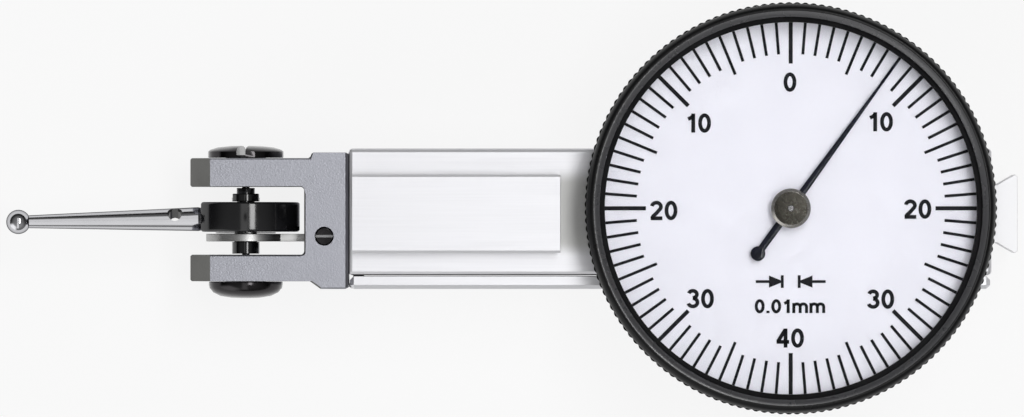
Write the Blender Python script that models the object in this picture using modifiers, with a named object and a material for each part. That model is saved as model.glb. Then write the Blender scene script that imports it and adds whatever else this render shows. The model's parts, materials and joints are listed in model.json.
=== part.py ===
"""Lever type dial test indicator with a swivelling stylus, a 0.01 mm movement and a turning bezel.

The frame is metres with +Z towards the reader of the dial. The origin lies on the dial's axis, in the
resting face of the back dovetail. +X runs from the stylus to the dial, and +Y is up on the dial.
"""
import math

import bmesh
import bpy
from mathutils import Matrix

mm = 0.001

# Gaps between pieces that touch on the real instrument
seat_gap = 0.08 * mm
small_gap = 0.04 * mm
overrun = 1.0 * mm
weld_distance = 0.0005 * mm

# Resolution of round shapes
large_steps = 40
middle_steps = 24
small_steps = 16
tiny_steps = 8
case_steps = 36

# Dovetails, the standard 6 mm size
dovetail_width = 6.4 * mm
dovetail_height = 1.6 * mm
dovetail_angle = math.radians(60)
dovetail_chamfer = 0.18 * mm
dovetail_drop = 0.43 * mm
front_dovetail_length = 16.4 * mm
rear_dovetail_neck = 0.45 * mm

# Movement housing
body_length = 50.7 * mm
body_height = 10.0 * mm
body_depth = 9.0 * mm
body_end_reach = 15.9 * mm
body_rise = 4.72 * mm
body_edge = 0.3 * mm
body_wall = 1.2 * mm
body_top_wall = 1.5 * mm
body_left_wall = 1.5 * mm
body_right_wall = 3.9 * mm
boss_radius = 1.1 * mm

# Cover over the open side of the housing
cover_thickness = 1.0 * mm
cover_edge = 0.3 * mm
cover_inset = 0.1 * mm

# Fork that carries the stylus pivot
fork_web = 3.38 * mm
fork_arm_length = 9.02 * mm
fork_joint_gap = 0.12 * mm
fork_top_arm = 2.27 * mm
fork_low_arm = 2.09 * mm
fork_slot_top = 1.69 * mm
fork_slot_low = 3.67 * mm
fork_top_shoulder = 0.45 * mm
fork_low_shoulder = 0.6 * mm
fork_shoulder_run = 0.45 * mm
fork_top_slope = 0.16 * mm
fork_low_slope = 0.85 * mm
fork_tip_chamfer = 1.6 * mm
fork_tip_drop = 2.3 * mm
fork_fillet = 0.3 * mm
fork_edge = 0.12 * mm
fork_window_height = 1.7 * mm
fork_window_depth = 5.0 * mm

# Stylus pivot
fork_pivot_inset = 4.68 * mm
arbor_radius = 0.9 * mm
arbor_neck_radius = 0.72 * mm
arbor_collar_radius = 1.085 * mm
arbor_pivot_radius = 0.3 * mm
arbor_pivot_length = 0.85 * mm
bush_radius = 0.78 * mm
bush_length = 1.05 * mm
bearing_screw_radius = 1.6 * mm
bearing_screw_bore_depth = 1.25 * mm
top_head_radius = 2.98 * mm
top_head_height = 0.95 * mm
low_head_radius = 2.92 * mm
low_head_height = 1.32 * mm
top_head_shares = ((0.4, 0.98), (0.75, 0.86), (0.95, 0.66), (1, 0.52))
low_head_shares = ((0.4, 0.97), (0.7, 0.86), (0.9, 0.64), (0.98, 0.4), (1, 0.2))
head_slot_width = 0.7 * mm
head_slot_depth = 0.75 * mm
head_slot_degrees = 83.5

# Stylus and its friction clutch
hub_top = 0.5 * mm
hub_low = 1.86 * mm
hub_radius = 4.27 * mm
hub_flat_reach = 3.5 * mm
hub_edge = 0.22 * mm
washer_radius = 2.4 * mm
washer_thickness = 0.08 * mm
nut_radius = 1.1 * mm
nut_height = 0.62 * mm
stylus_length = 18.0 * mm
stylus_drop = 0.85 * mm
stylus_tilt = math.radians(0.9)
stylus_tip_radius = 0.48 * mm
stylus_root_radius = 0.94 * mm
stylus_stub_radius = 0.62 * mm
stylus_stub_length = 1.7 * mm
stylus_shoulder = 0.25 * mm
stylus_hole_radius = 0.6 * mm
stylus_hole_turn = math.radians(35)
stylus_hole_reach = 5.6 * mm
ball_radius = 0.96 * mm

# Lever and sector
lever_top = 2.02 * mm
lever_thickness = 0.6 * mm
lever_eye_radius = 3.14 * mm
lever_root_width = 3.0 * mm
lever_end_width = 1.8 * mm
lever_tail_rise = 1.7 * mm
lever_tail_length = 2.6 * mm
sector_thickness = 0.55 * mm
sector_depth = 5.2 * mm
sector_lap = 1.8 * mm
sector_screw_shares = (0.1, 2.6)

# Gear train
sector_teeth = 424
crown_pinion_teeth = 12
crown_teeth = 60
centre_pinion_teeth = 15
pointer_turn_degrees = 414
crown_side_gap = 0.2 * mm
root_share = 0.25
tip_share = 0.1
addendum_share = 0.8
dedendum_share = 1.25
crown_pinion_length = 1.0 * mm
crown_thickness = 0.6 * mm
crown_face = 0.35 * mm
crown_arbor_radius = 0.35 * mm
crown_pivot_radius = 0.16 * mm
crown_pivot_length = 0.45 * mm
centre_pinion_length = 0.6 * mm
spindle_radius = 0.3 * mm
spindle_pivot_radius = 0.15 * mm
spindle_top_radius = 0.22 * mm

# Jewel bearings
jewel_radius = 0.62 * mm
jewel_thickness = 0.5 * mm
front_jewel_radius = 0.9 * mm

# Bridges inside the housing
bridge_thickness = 0.8 * mm
bridge_left = 3.4 * mm
bridge_right_gap = 1.4 * mm
bridge_side_gap = 0.3 * mm
bridge_level = 3.8 * mm
bridge_post_inset = 3.4 * mm
bridge_post_spread = 1.6 * mm
spindle_bridge_width = 9.0 * mm
spindle_bridge_drop = 0.55 * mm
spindle_bridge_foot = 1.5 * mm
spindle_bridge_plate = 0.7 * mm
spindle_bridge_gap = 0.15 * mm
spindle_bridge_hole_spread = 3.3 * mm

# Hairspring
spring_turns = 4
spring_points_per_turn = 13
spring_wire = 0.05 * mm
spring_inner = 0.66 * mm
spring_outer = 2.5 * mm
collet_radius = 0.56 * mm
collet_height = 0.5 * mm
stud_radius = 0.28 * mm

# Screws inside and on the case
case_screw = {"head": 0.85 * mm, "height": 0.4 * mm, "shank": 0.45 * mm, "slot": 0.25 * mm}
bridge_screw = {"head": 0.8 * mm, "height": 0.38 * mm, "shank": 0.42 * mm, "slot": 0.22 * mm}
spindle_screw = {"head": 0.66 * mm, "height": 0.34 * mm, "shank": 0.38 * mm, "slot": 0.2 * mm}
cover_screw = {"head": 0.7 * mm, "height": 0.4 * mm, "shank": 0.4 * mm, "slot": 0.22 * mm}
fork_screw = {"head": 0.95 * mm, "height": 0.7 * mm, "shank": 0.55 * mm, "slot": 0.28 * mm}
sector_screw = {"head": 0.45 * mm, "height": 0.22 * mm, "shank": 0.26 * mm, "slot": 0.14 * mm}
case_screw_length = 2.0 * mm
case_screw_inset = 4.6 * mm
case_screw_end = 6.3 * mm
case_screw_edge = 2.1 * mm
bridge_screw_length = 2.4 * mm
cover_screw_length = 1.8 * mm
fork_screw_length = 4.4 * mm
stop_screw_radius = 0.72 * mm
stop_screw_drop = 2.2 * mm
stop_screw_from_joint = 1.8 * mm

# Dial case and bezel
case_floor = 1.0 * mm
case_flange_inset = 0.5 * mm
case_wall_gap = 0.38 * mm
case_wall = 0.9 * mm
case_height = 2.0 * mm
case_boss_radius = 2.1 * mm
case_boss_drop = 0.9 * mm
ring_groove_depth = 0.35 * mm
ring_groove_height = 0.5 * mm
ring_groove_level = 1.35 * mm
bezel_radius = 16.2 * mm
knurl_teeth = 155
knurl_depth = 0.22 * mm
bezel_wall = 1.2 * mm
bezel_groove_depth = 0.2 * mm
bezel_opening_wall = 1.58 * mm
crystal_bore_wall = 1.1 * mm
bezel_lift = 0.62 * mm
bezel_height = 5.5 * mm
knurl_height = 3.6 * mm
bezel_crown = 0.8 * mm
bezel_dial_seat = 2.5 * mm
bezel_crystal_seat = 3.9 * mm
crystal_thickness = 0.8 * mm
gasket_thickness = 0.16 * mm
dial_thickness = 0.4 * mm
dial_hole_radius = 0.9 * mm
retainer_thickness = 0.4 * mm
retainer_width = 1.0 * mm

# Pointer
pointer_tip_gap = 0.47 * mm
pointer_tail = 4.4 * mm
pointer_root_width = 0.6 * mm
pointer_tip_width = 0.14 * mm
pointer_thickness = 0.12 * mm
pointer_disc_radius = 0.56 * mm
pointer_eye_radius = 0.62 * mm
pointer_height = 0.55 * mm
pointer_degrees = 36
pointer_hub_radius = 1.56 * mm
pointer_hub_height = 0.5 * mm

# Places that follow from the sizes above
back_z = dovetail_height
front_z = back_z + body_depth
mid_z = (back_z + front_z) / 2
body_left = body_end_reach - body_length
body_low = body_rise - body_height
cavity_top = body_rise - body_top_wall
cavity_left = body_left + body_left_wall
cavity_right = body_end_reach - body_right_wall
cavity_back = back_z + body_wall
cavity_front = front_z - body_wall
dovetail_taper = dovetail_height / math.tan(dovetail_angle)
cover_top = body_low - seat_gap
cover_low = cover_top - cover_thickness
fork_right = body_left - fork_joint_gap
fork_slot_end = fork_right - fork_web
fork_left = fork_slot_end - fork_arm_length
top_arm_y = fork_slot_top + fork_top_arm
low_arm_y = -fork_slot_low - fork_low_arm
pivot_x = fork_slot_end - fork_pivot_inset
pivot_offset = -pivot_x
lever_low = -lever_top - lever_thickness
ball_x = pivot_x - stylus_length
ball_y = -stylus_drop - (stylus_length - hub_flat_reach) * math.tan(stylus_tilt)
washer_low = -lever_top + small_gap
hub_floor = -hub_low
nut_low = hub_top + small_gap
train_ratio = (sector_teeth / crown_pinion_teeth) * (crown_teeth / centre_pinion_teeth)
travel_degrees = pointer_turn_degrees / train_ratio
pair_teeth = sector_teeth + crown_pinion_teeth
sector_module = 2 * pivot_offset / pair_teeth
sector_pitch = sector_module * sector_teeth / 2
crown_pinion_pitch = sector_module * crown_pinion_teeth / 2
lever_reach = sector_pitch - sector_depth + sector_lap
sector_top = lever_low - small_gap
sector_low = sector_top - sector_thickness
fine_module = (body_depth / 2 - body_wall - crown_side_gap) / (crown_teeth / 2 + 1)
crown_pitch = fine_module * crown_teeth / 2
centre_pitch = fine_module * centre_pinion_teeth / 2
crown_tip_y = -centre_pitch + fine_module * addendum_share
crown_face_y = -centre_pitch - fine_module * dedendum_share
crown_low = crown_face_y - crown_thickness
crown_pinion_low = (sector_top + sector_low) / 2 - crown_pinion_length / 2
crown_pinion_high = crown_pinion_low + crown_pinion_length
bridge_top = -bridge_level
bridge_depth = cavity_front - cavity_back - 2 * bridge_side_gap
spindle_bridge_front = cavity_front - spindle_bridge_gap - spindle_bridge_foot
spindle_bridge_level = spindle_bridge_front - spindle_bridge_plate
bridge_right = cavity_right - bridge_right_gap
bridge_post_x = cavity_right - bridge_post_inset
bridge_low = bridge_top - bridge_thickness
bezel_skirt_radius = bezel_radius - bezel_wall
bezel_opening_radius = bezel_radius - bezel_opening_wall
crystal_bore_radius = bezel_radius - crystal_bore_wall
case_wall_radius = bezel_skirt_radius - case_wall_gap
case_flange_radius = bezel_radius - case_flange_inset
pointer_reach = bezel_opening_radius - pointer_tip_gap
case_low = front_z + seat_gap
case_top = case_low + case_height
case_floor_top = case_low + case_floor
bezel_low = case_low + bezel_lift
bezel_top = bezel_low + bezel_height
dial_top = bezel_low + bezel_dial_seat - small_gap
dial_low = dial_top - dial_thickness
crystal_low = bezel_low + bezel_crystal_seat + small_gap
centre_pinion_low = mid_z + crown_pitch - crown_face - seat_gap
pointer_low = dial_top + pointer_height
pointer_top = pointer_low + pointer_thickness
stop_x = fork_right - stop_screw_from_joint
stop_y = -stop_screw_drop

TURNS = {
    "+Z": (0, 0, 0),
    "-Z": (math.pi, 0, 0),
    "+Y": (-math.pi / 2, 0, 0),
    "-Y": (math.pi / 2, 0, 0),
    "+X": (0, math.pi / 2, 0),
    "-X": (0, -math.pi / 2, 0),
}


def clear_scene():
    """Remove every object, so that the part starts from nothing."""
    for obj in list(bpy.data.objects):
        bpy.data.objects.remove(obj, do_unlink=True)


def new_collection(name):
    """Make a collection under the scene."""
    home = bpy.data.collections.new(name)
    bpy.context.scene.collection.children.link(home)
    return home


clear_scene()
PART = new_collection("dial_test_indicator")
CUTTERS = new_collection("cutters")


def finish(name, colour, roughness, metallic):
    """Make a Principled material of one colour."""
    material = bpy.data.materials.new(name)
    material.use_nodes = True
    shader = material.node_tree.nodes["Principled BSDF"]
    shader.inputs["Base Color"].default_value = (*colour, 1)
    shader.inputs["Roughness"].default_value = roughness
    shader.inputs["Metallic"].default_value = metallic
    return material


FINISHES = {
    "satin_chrome": ((0.44, 0.45, 0.49), 0.38, 1.0),
    "bright_steel": ((0.66, 0.66, 0.68), 0.22, 1.0),
    "black_steel": ((0.03, 0.03, 0.035), 0.25, 0.6),
    "dark_chrome": ((0.2, 0.2, 0.22), 0.3, 1.0),
    "brass": ((0.62, 0.48, 0.24), 0.3, 1.0),
    "bronze_hub": ((0.2, 0.17, 0.09), 0.3, 0.9),
    "ruby": ((0.5, 0.03, 0.08), 0.1, 0.0),
    "dial_white": ((0.86, 0.86, 0.92), 0.5, 0.0),
    "pointer_black": ((0.02, 0.02, 0.02), 0.35, 0.0),
    "crystal": ((0.95, 0.97, 1.0), 0.05, 0.0),
    "black_rubber": ((0.03, 0.03, 0.03), 0.7, 0.0),
}


def place(obj, at, facing="+Z"):
    """Put an object at a point with its local +Z along a world axis."""
    obj.location = at
    obj.rotation_euler = TURNS[facing]
    return obj


def give(obj, finish_name):
    """Name a mesh after its object and give it its own material."""
    obj.data.name = obj.name
    obj.data.materials.clear()
    obj.data.materials.append(finish(f"{obj.name}_finish", *FINISHES[finish_name]))
    return obj


def from_bmesh(bm, name):
    """Turn a bmesh into an object of the part."""
    mesh = bpy.data.meshes.new(name)
    bm.to_mesh(mesh)
    bm.free()
    obj = bpy.data.objects.new(name, mesh)
    PART.objects.link(obj)
    return obj


def block(name, low, high):
    """A box between two corners."""
    bm = bmesh.new()
    bmesh.ops.create_cube(bm, size=1)
    size = [b - a for a, b in zip(low, high)]
    middle = [(a + b) / 2 for a, b in zip(low, high)]
    bmesh.ops.scale(bm, vec=size, verts=bm.verts)
    obj = from_bmesh(bm, name)
    obj.location = middle
    return obj


def rod(name, radius, length, at, facing="+Z", steps=small_steps, end_radius=None):
    """A cylinder or cone that starts at a point and runs along an axis."""
    bm = bmesh.new()
    end = radius if end_radius is None else end_radius
    bmesh.ops.create_cone(bm, cap_ends=True, segments=steps, radius1=radius, radius2=end, depth=length)
    bmesh.ops.translate(bm, vec=(0, 0, length / 2), verts=bm.verts)
    return place(from_bmesh(bm, name), at, facing)


def turned(name, profile, at, facing="+Z", steps=middle_steps, ring=False):
    """Turn a profile of (radius, height) points, given down its outer side, about the local Z axis."""
    bm = bmesh.new()
    corners = [bm.verts.new((radius, 0, height)) for radius, height in profile]
    for first, second in zip(corners, corners[1:]):
        bm.edges.new((first, second))
    if ring:
        bm.edges.new((corners[-1], corners[0]))
    obj = from_bmesh(bm, name)
    screw = obj.modifiers.new("Turn", "SCREW")
    screw.steps = steps
    screw.render_steps = steps
    screw.use_merge_vertices = True
    screw.merge_threshold = weld_distance
    screw.use_smooth_shade = False
    return place(obj, at, facing)


def plate(name, outlines, thickness, at, facing="+Z"):
    """Extrude flat closed outlines. The first is the edge, and any others are holes in it."""
    curve = bpy.data.curves.new(name, "CURVE")
    curve.dimensions = "2D"
    curve.fill_mode = "BOTH"
    curve.extrude = thickness / 2
    for outline in outlines:
        spline = curve.splines.new("POLY")
        spline.points.add(len(outline) - 1)
        for point, (across, up) in zip(spline.points, outline):
            point.co = (across, up, 0, 1)
        spline.use_cyclic_u = True
    drawn = bpy.data.objects.new(f"{name}_outline", curve)
    PART.objects.link(drawn)
    bpy.context.view_layer.update()
    mesh = bpy.data.meshes.new_from_object(drawn.evaluated_get(bpy.context.evaluated_depsgraph_get()))
    bpy.data.objects.remove(drawn, do_unlink=True)
    bm = bmesh.new()
    bm.from_mesh(mesh)
    bmesh.ops.remove_doubles(bm, verts=bm.verts, dist=weld_distance)
    bmesh.ops.translate(bm, vec=(0, 0, thickness / 2), verts=bm.verts)
    bmesh.ops.recalc_face_normals(bm, faces=bm.faces)
    bpy.data.meshes.remove(mesh)
    return place(from_bmesh(bm, name), at, facing)


def circle(radius, steps=small_steps, across=0.0, up=0.0):
    """Points of a circle, for a hole in a plate."""
    turns = [2 * math.pi * step / steps for step in range(steps)]
    return [(across + radius * math.cos(turn), up + radius * math.sin(turn)) for turn in turns]


def arc(radius, start, end, steps, across=0.0, up=0.0):
    """Points of an arc between two angles in degrees."""
    turns = [math.radians(start + (end - start) * step / steps) for step in range(steps + 1)]
    return [(across + radius * math.cos(turn), up + radius * math.sin(turn)) for turn in turns]


def set_aside(tool):
    """Move a cutter or a joined piece to the cutters' collection."""
    PART.objects.unlink(tool)
    CUTTERS.objects.link(tool)
    tool.hide_render = True
    tool.display_type = "WIRE"


def combine(obj, tool, operation):
    """Add a Boolean of one tool to an object."""
    modifier = obj.modifiers.new(operation.title(), "BOOLEAN")
    modifier.operation = operation
    modifier.object = tool
    modifier.solver = "EXACT"
    set_aside(tool)
    return obj


def cut(obj, *tools):
    """Take tools out of an object."""
    for tool in tools:
        combine(obj, tool, "DIFFERENCE")
    return obj


def join(obj, *tools):
    """Add tools to an object."""
    for tool in tools:
        combine(obj, tool, "UNION")
    return obj


def bevel(obj, width, segments=1, degrees=40):
    """Bevel the edges that are sharper than an angle."""
    modifier = obj.modifiers.new("Bevel", "BEVEL")
    modifier.width = width
    modifier.segments = segments
    modifier.limit_method = "ANGLE"
    modifier.angle_limit = math.radians(degrees)
    return obj


def screw(name, sizes, length, at, facing, finish_name, slot_degrees=0, dome=0.0):
    """A slotted screw. Its seat under the head is at a point, and its head faces along an axis."""
    head, height, shank = sizes["head"], sizes["height"], sizes["shank"]
    edge = sizes["slot"] / 2
    profile = [
        (0, height + dome),
        (head * 0.6, height + dome * 0.64),
        (head - edge, height),
        (head, height - edge),
        (head, 0),
        (shank, 0),
        (shank, -length),
        (0, -length),
    ]
    if not dome:
        profile.pop(1)
    obj = turned(name, profile, at, facing, steps=tiny_steps)
    half = sizes["slot"] / 2
    slot = block(f"{name}_slot", (-2 * head, -half, height * 0.45), (2 * head, half, height + dome + overrun))
    slot.rotation_euler = (0, 0, math.radians(slot_degrees))
    slot.parent = obj
    return give(cut(obj, slot), finish_name)


def at_y(y, x=0.0, z=None):
    """A point at the height of the movement's mid plane."""
    return (x, y, mid_z if z is None else z)


def dovetail(name, length, at, facing, out, neck=0.0):
    """A male dovetail on a short neck. It stands on a face, and out is the sign of its height."""
    half = dovetail_width / 2
    root = half - dovetail_taper
    trimmed = half - dovetail_taper * dovetail_chamfer / dovetail_height
    side = [
        (-body_edge, root),
        (neck, root),
        (neck + dovetail_height - dovetail_chamfer, trimmed),
        (neck + dovetail_height, trimmed - dovetail_chamfer),
    ]
    outline = [(out * up, across) for up, across in side]
    outline += [(out * up, -across) for up, across in reversed(side)]
    return plate(name, [outline], length, at, facing)


def hole(radius, depth, at, facing, steps=tiny_steps):
    """A round cutter that starts one overrun before a face and goes in along an axis."""
    tool = rod("hole", radius, depth + overrun, at, facing, steps)
    back = {"X": 0, "Y": 1, "Z": 2}[facing[1]]
    tool.location[back] -= overrun if facing[0] == "+" else -overrun
    return tool


case_screw_places = [
    (case_screw_inset - case_wall_radius, -dovetail_drop),
    (body_end_reach - case_screw_end, body_rise - case_screw_edge),
    (body_end_reach - case_screw_end, body_low + case_screw_edge),
]
cover_screw_places = [
    (x, z)
    for x in (body_left + body_left_wall / 2, body_end_reach - body_right_wall / 2)
    for z in (mid_z - body_depth * 0.3, mid_z + body_depth * 0.3)
]
fork_screw_y = (fork_slot_top - fork_slot_low) / 2 + fork_slot_low * 0.25
fork_screw_places = [mid_z - body_depth * 0.36, mid_z + body_depth * 0.36]
bridge_screw_places = [mid_z - bridge_post_spread, mid_z + bridge_post_spread]
spindle_foot_low = cavity_top - small_gap - spindle_bridge_plate
spindle_foot_z = spindle_bridge_level + spindle_bridge_plate + spindle_bridge_foot / 2
spindle_screw_places = [-spindle_bridge_hole_spread, spindle_bridge_hole_spread]
window_y = (-lever_top - lever_thickness / 2, fork_window_height / 2, fork_window_depth / 2)


def lever_window(name, left, right):
    """The opening that the lever swings in, through the fork's web and the housing's end wall."""
    middle, half_height, half_depth = window_y
    return block(name, (left, middle - half_height, mid_z - half_depth),
                 (right, middle + half_height, mid_z + half_depth))


def make_body():
    """The movement housing, open on its lower side, with three dovetails."""
    body = block("body", (body_left, body_low, back_z), (body_end_reach, body_rise, front_z))
    bevel(body, body_edge, 2)
    start = body_left + body_edge
    front = dovetail("front_tail", front_dovetail_length, (start, -dovetail_drop, front_z), "+X", -1)
    back = dovetail("back_tail", body_length - 2 * body_edge, (start, -dovetail_drop, back_z), "+X", 1)
    rear_at = (body_end_reach, -dovetail_drop, back_z + body_edge)
    rear = dovetail("rear_tail", body_depth - 2 * body_edge, rear_at, "+Z", 1, rear_dovetail_neck)
    join(body, front, back, rear)
    cut(body, block("cavity", (cavity_left, body_low - overrun, cavity_back),
                    (cavity_right, cavity_top, cavity_front)))
    sink = body_top_wall / 3
    for z in bridge_screw_places:
        length = cavity_top + sink - bridge_top - small_gap
        join(body, rod("post", boss_radius, length, at_y(cavity_top + sink, bridge_post_x, z), "-Y"))
    cut(body, lever_window("window", body_left - overrun, cavity_left + overrun))
    thread = small_gap + bridge_screw["shank"]
    for z in bridge_screw_places:
        cut(body, hole(thread, bridge_screw_length, at_y(bridge_top, bridge_post_x, z), "+Y"))
    for x in spindle_screw_places:
        cut(body, hole(thread, body_top_wall * 0.8, at_y(cavity_top, x, spindle_foot_z), "+Y"))
    seat_depth = jewel_thickness + 2 * small_gap
    cut(body, hole(jewel_radius + small_gap, seat_depth, at_y(cavity_top), "+Y", small_steps))
    cut(body, hole(case_boss_radius + seat_gap, 2 * body_wall, (0, 0, front_z), "-Z", middle_steps))
    for x, y in case_screw_places:
        cut(body, hole(case_screw["shank"] + small_gap, 2 * body_wall, (x, y, front_z), "-Z"))
    for x, z in cover_screw_places:
        cut(body, hole(cover_screw["shank"] + small_gap, cover_screw_length, at_y(body_low, x, z), "+Y"))
    for z in fork_screw_places:
        start = at_y(fork_screw_y, body_left, z)
        cut(body, hole(fork_screw["shank"] + small_gap, fork_screw_length, start, "+X"))
    return give(body, "satin_chrome")


def make_cover():
    """The cover plate that closes the housing, and its four screws."""
    low = (body_left + cover_inset, cover_low, back_z + cover_inset)
    high = (body_end_reach - cover_inset, cover_top, front_z - cover_inset)
    cover = bevel(block("side_cover", low, high), cover_edge)
    head = cover_screw["head"] + seat_gap
    for number, (x, z) in enumerate(cover_screw_places, 1):
        seat = cover_low + cover_screw["height"] + seat_gap
        cut(cover, hole(head, seat - cover_low, at_y(cover_low, x, z), "+Y"))
        cut(cover, hole(cover_screw["shank"] + small_gap, 2 * cover_thickness, at_y(cover_low, x, z), "+Y"))
        screw(f"side_cover_screw_{number}", cover_screw, cover_screw_length,
              at_y(seat - small_gap, x, z), "-Y", "bright_steel", slot_degrees=40 * number)
    give(cover, "satin_chrome")


def fork_outline():
    """The fork seen from the front: web, shoulders, two arms and the slot between them."""
    top, low = top_arm_y, low_arm_y
    shoulder_top = top + fork_top_shoulder
    shoulder_low = low - fork_low_shoulder
    run = fork_slot_end + fork_shoulder_run
    corner = fork_fillet
    slot_top = arc(corner, 0, 90, 3, fork_slot_end - corner, fork_slot_top - corner)
    slot_low = arc(corner, -90, 0, 3, fork_slot_end - corner, corner - fork_slot_low)
    return [
        (fork_right, shoulder_low),
        (fork_right, shoulder_top),
        (run + fork_top_slope, shoulder_top),
        (run, top),
        (fork_left, top),
        (fork_left, fork_slot_top),
        *reversed(slot_top),
        *reversed(slot_low),
        (fork_left, -fork_slot_low),
        (fork_left, low),
        (run, low),
        (run + fork_low_slope, shoulder_low),
    ]


def make_fork():
    """The fork whose two arms carry the stylus pivot, with its screws and the travel stop."""
    fork = plate("fork", [fork_outline()], body_depth, (0, 0, back_z))
    bevel(fork, fork_edge)
    for side in (-1, 1):
        face = mid_z + side * body_depth / 2
        left = fork_left - overrun
        slope = (fork_tip_drop / fork_tip_chamfer) * overrun
        outline = [
            (left, -(face + side * overrun)),
            (left, -(face - side * (fork_tip_drop + slope))),
            (fork_left + fork_tip_chamfer, -face),
            (fork_left + fork_tip_chamfer, -(face + side * overrun)),
        ]
        height = top_arm_y - low_arm_y + 2 * overrun
        cut(fork, plate("tip", [outline], height, (0, low_arm_y - overrun, 0), "+Y"))
    cut(fork, hole(bearing_screw_radius + small_gap, top_arm_y - low_arm_y + overrun,
                   at_y(low_arm_y, pivot_x), "+Y", middle_steps))
    cut(fork, lever_window("fork_window", fork_slot_end - overrun, fork_right + overrun))
    for number, z in enumerate(fork_screw_places, 1):
        seat = fork_slot_end + fork_screw["height"] + seat_gap
        cut(fork, hole(fork_screw["head"] + seat_gap, seat - fork_slot_end,
                       at_y(fork_screw_y, fork_slot_end, z), "+X"))
        cut(fork, hole(fork_screw["shank"] + small_gap, fork_web + overrun,
                       at_y(fork_screw_y, fork_slot_end, z), "+X"))
        screw(f"fork_screw_{number}", fork_screw, fork_screw_length,
              at_y(fork_screw_y, seat - small_gap, z), "-X", "black_steel", slot_degrees=35)
    stop_tip = mid_z + stop_half_width() + small_gap
    stop_at = (stop_x, stop_y, front_z)
    cut(fork, hole(stop_screw_radius + small_gap, body_depth / 2, stop_at, "-Z", small_steps))
    give(fork, "satin_chrome")
    length = front_z - seat_gap - stop_tip
    edge = seat_gap
    profile = [
        (0, length),
        (stop_screw_radius - edge, length),
        (stop_screw_radius, length - edge),
        (stop_screw_radius, edge),
        (stop_screw_radius / 2, 0),
        (0, 0),
    ]
    stop = turned("travel_stop_screw", profile, (stop_x, stop_y, stop_tip), steps=small_steps)
    depth = stop_screw_radius
    slot = block("stop_slot", (-stop_screw_radius * 2, -stop_screw_radius / 6, length - depth),
                 (stop_screw_radius * 2, stop_screw_radius / 6, length + overrun))
    slot.parent = stop
    give(cut(stop, slot), "black_steel")


def stop_half_width():
    """Half the lever's width where the travel stop touches it."""
    reach = stop_x - pivot_x
    share = (reach - lever_eye_radius) / (lever_reach - lever_tail_length - lever_eye_radius)
    return (lever_root_width + (lever_end_width - lever_root_width) * share) / 2


def bearing_screw(name, head_radius, head_height, shares, arm, at, facing, slot_degrees):
    """A wide slotted screw whose shank holds a bearing bush in its end."""
    end = small_gap - arm
    bore = bush_radius + small_gap
    profile = [
        (0, head_height),
        *((head_radius * reach, head_height * height) for reach, height in shares),
        (head_radius, small_gap),
        (head_radius - small_gap, 0),
        (bearing_screw_radius, 0),
        (bearing_screw_radius, end),
        (bore, end),
        (bore, end + bearing_screw_bore_depth),
        (0, end + bearing_screw_bore_depth),
    ]
    obj = turned(name, profile, at, facing)
    half = head_slot_width / 2
    slot = block(f"{name}_slot", (-2 * head_radius, -half, head_height - head_slot_depth),
                 (2 * head_radius, half, head_height + overrun))
    slot.parent = obj
    slot.rotation_euler = (0, 0, math.radians(slot_degrees))
    return give(cut(obj, slot), "dark_chrome")


def ring(name, outer, inner, height, at, facing, finish_name, steps=middle_steps, edge=0.0):
    """A flat ring with optional chamfers on its outer edges."""
    profile = [(inner, height), (outer - edge, height), (outer, height - edge),
               (outer, edge), (outer - edge, 0), (inner, 0)]
    if not edge:
        profile = [(inner, height), (outer, height), (outer, 0), (inner, 0)]
    return give(turned(name, profile, at, facing, steps, ring=True), finish_name)


def make_pivot():
    """The stylus pivot: bearing screws, bushes, arbor, friction washer and clutch nut."""
    top_at = at_y(top_arm_y + small_gap, pivot_x)
    low_at = at_y(low_arm_y - small_gap, pivot_x)
    arm = fork_top_arm + 2 * small_gap
    bearing_screw("upper_pivot_screw", top_head_radius, top_head_height, top_head_shares, arm,
                  top_at, "+Y", head_slot_degrees)
    arm = fork_low_arm + 2 * small_gap
    bearing_screw("lower_pivot_screw", low_head_radius, low_head_height, low_head_shares, arm,
                  low_at, "-Y", 0)
    bore = arbor_pivot_radius + 2 * small_gap
    at = at_y(fork_slot_top + 2 * small_gap, pivot_x)
    ring("upper_pivot_bush", bush_radius, bore, bush_length, at, "+Y", "brass", small_steps)
    at = at_y(-fork_slot_low - 2 * small_gap, pivot_x)
    ring("lower_pivot_bush", bush_radius, bore, bush_length, at, "-Y", "brass", small_steps)
    top, low = fork_slot_top - seat_gap, seat_gap - fork_slot_low
    tip, thick, step = arbor_pivot_radius, arbor_radius, hub_top - small_gap
    profile = [
        (0, top + arbor_pivot_length),
        (tip - small_gap, top + arbor_pivot_length),
        (tip, top + arbor_pivot_length - small_gap),
        (tip, top),
        (arbor_neck_radius, top),
        (arbor_neck_radius, step),
        (thick, step),
        (thick, lever_low - small_gap),
        (arbor_collar_radius, lever_low - small_gap),
        (arbor_collar_radius, low),
        (tip, low),
        (tip, low - arbor_pivot_length + small_gap),
        (tip - small_gap, low - arbor_pivot_length),
        (0, low - arbor_pivot_length),
    ]
    give(turned("fulcrum_arbor", profile, at_y(0, pivot_x), "+Y", small_steps), "bright_steel")
    ring("friction_washer", washer_radius, arbor_radius + small_gap, washer_thickness,
         at_y(washer_low, pivot_x), "+Y", "brass")
    nut = ring("clutch_nut", nut_radius, arbor_neck_radius + small_gap, nut_height,
               at_y(nut_low, pivot_x), "+Y", "bright_steel", small_steps, small_gap)
    half = nut_radius / 5
    slot = block("nut_slot", (-2 * nut_radius, -half, nut_height / 2),
                 (2 * nut_radius, half, nut_height + overrun))
    slot.parent = nut
    cut(nut, slot)


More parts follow.
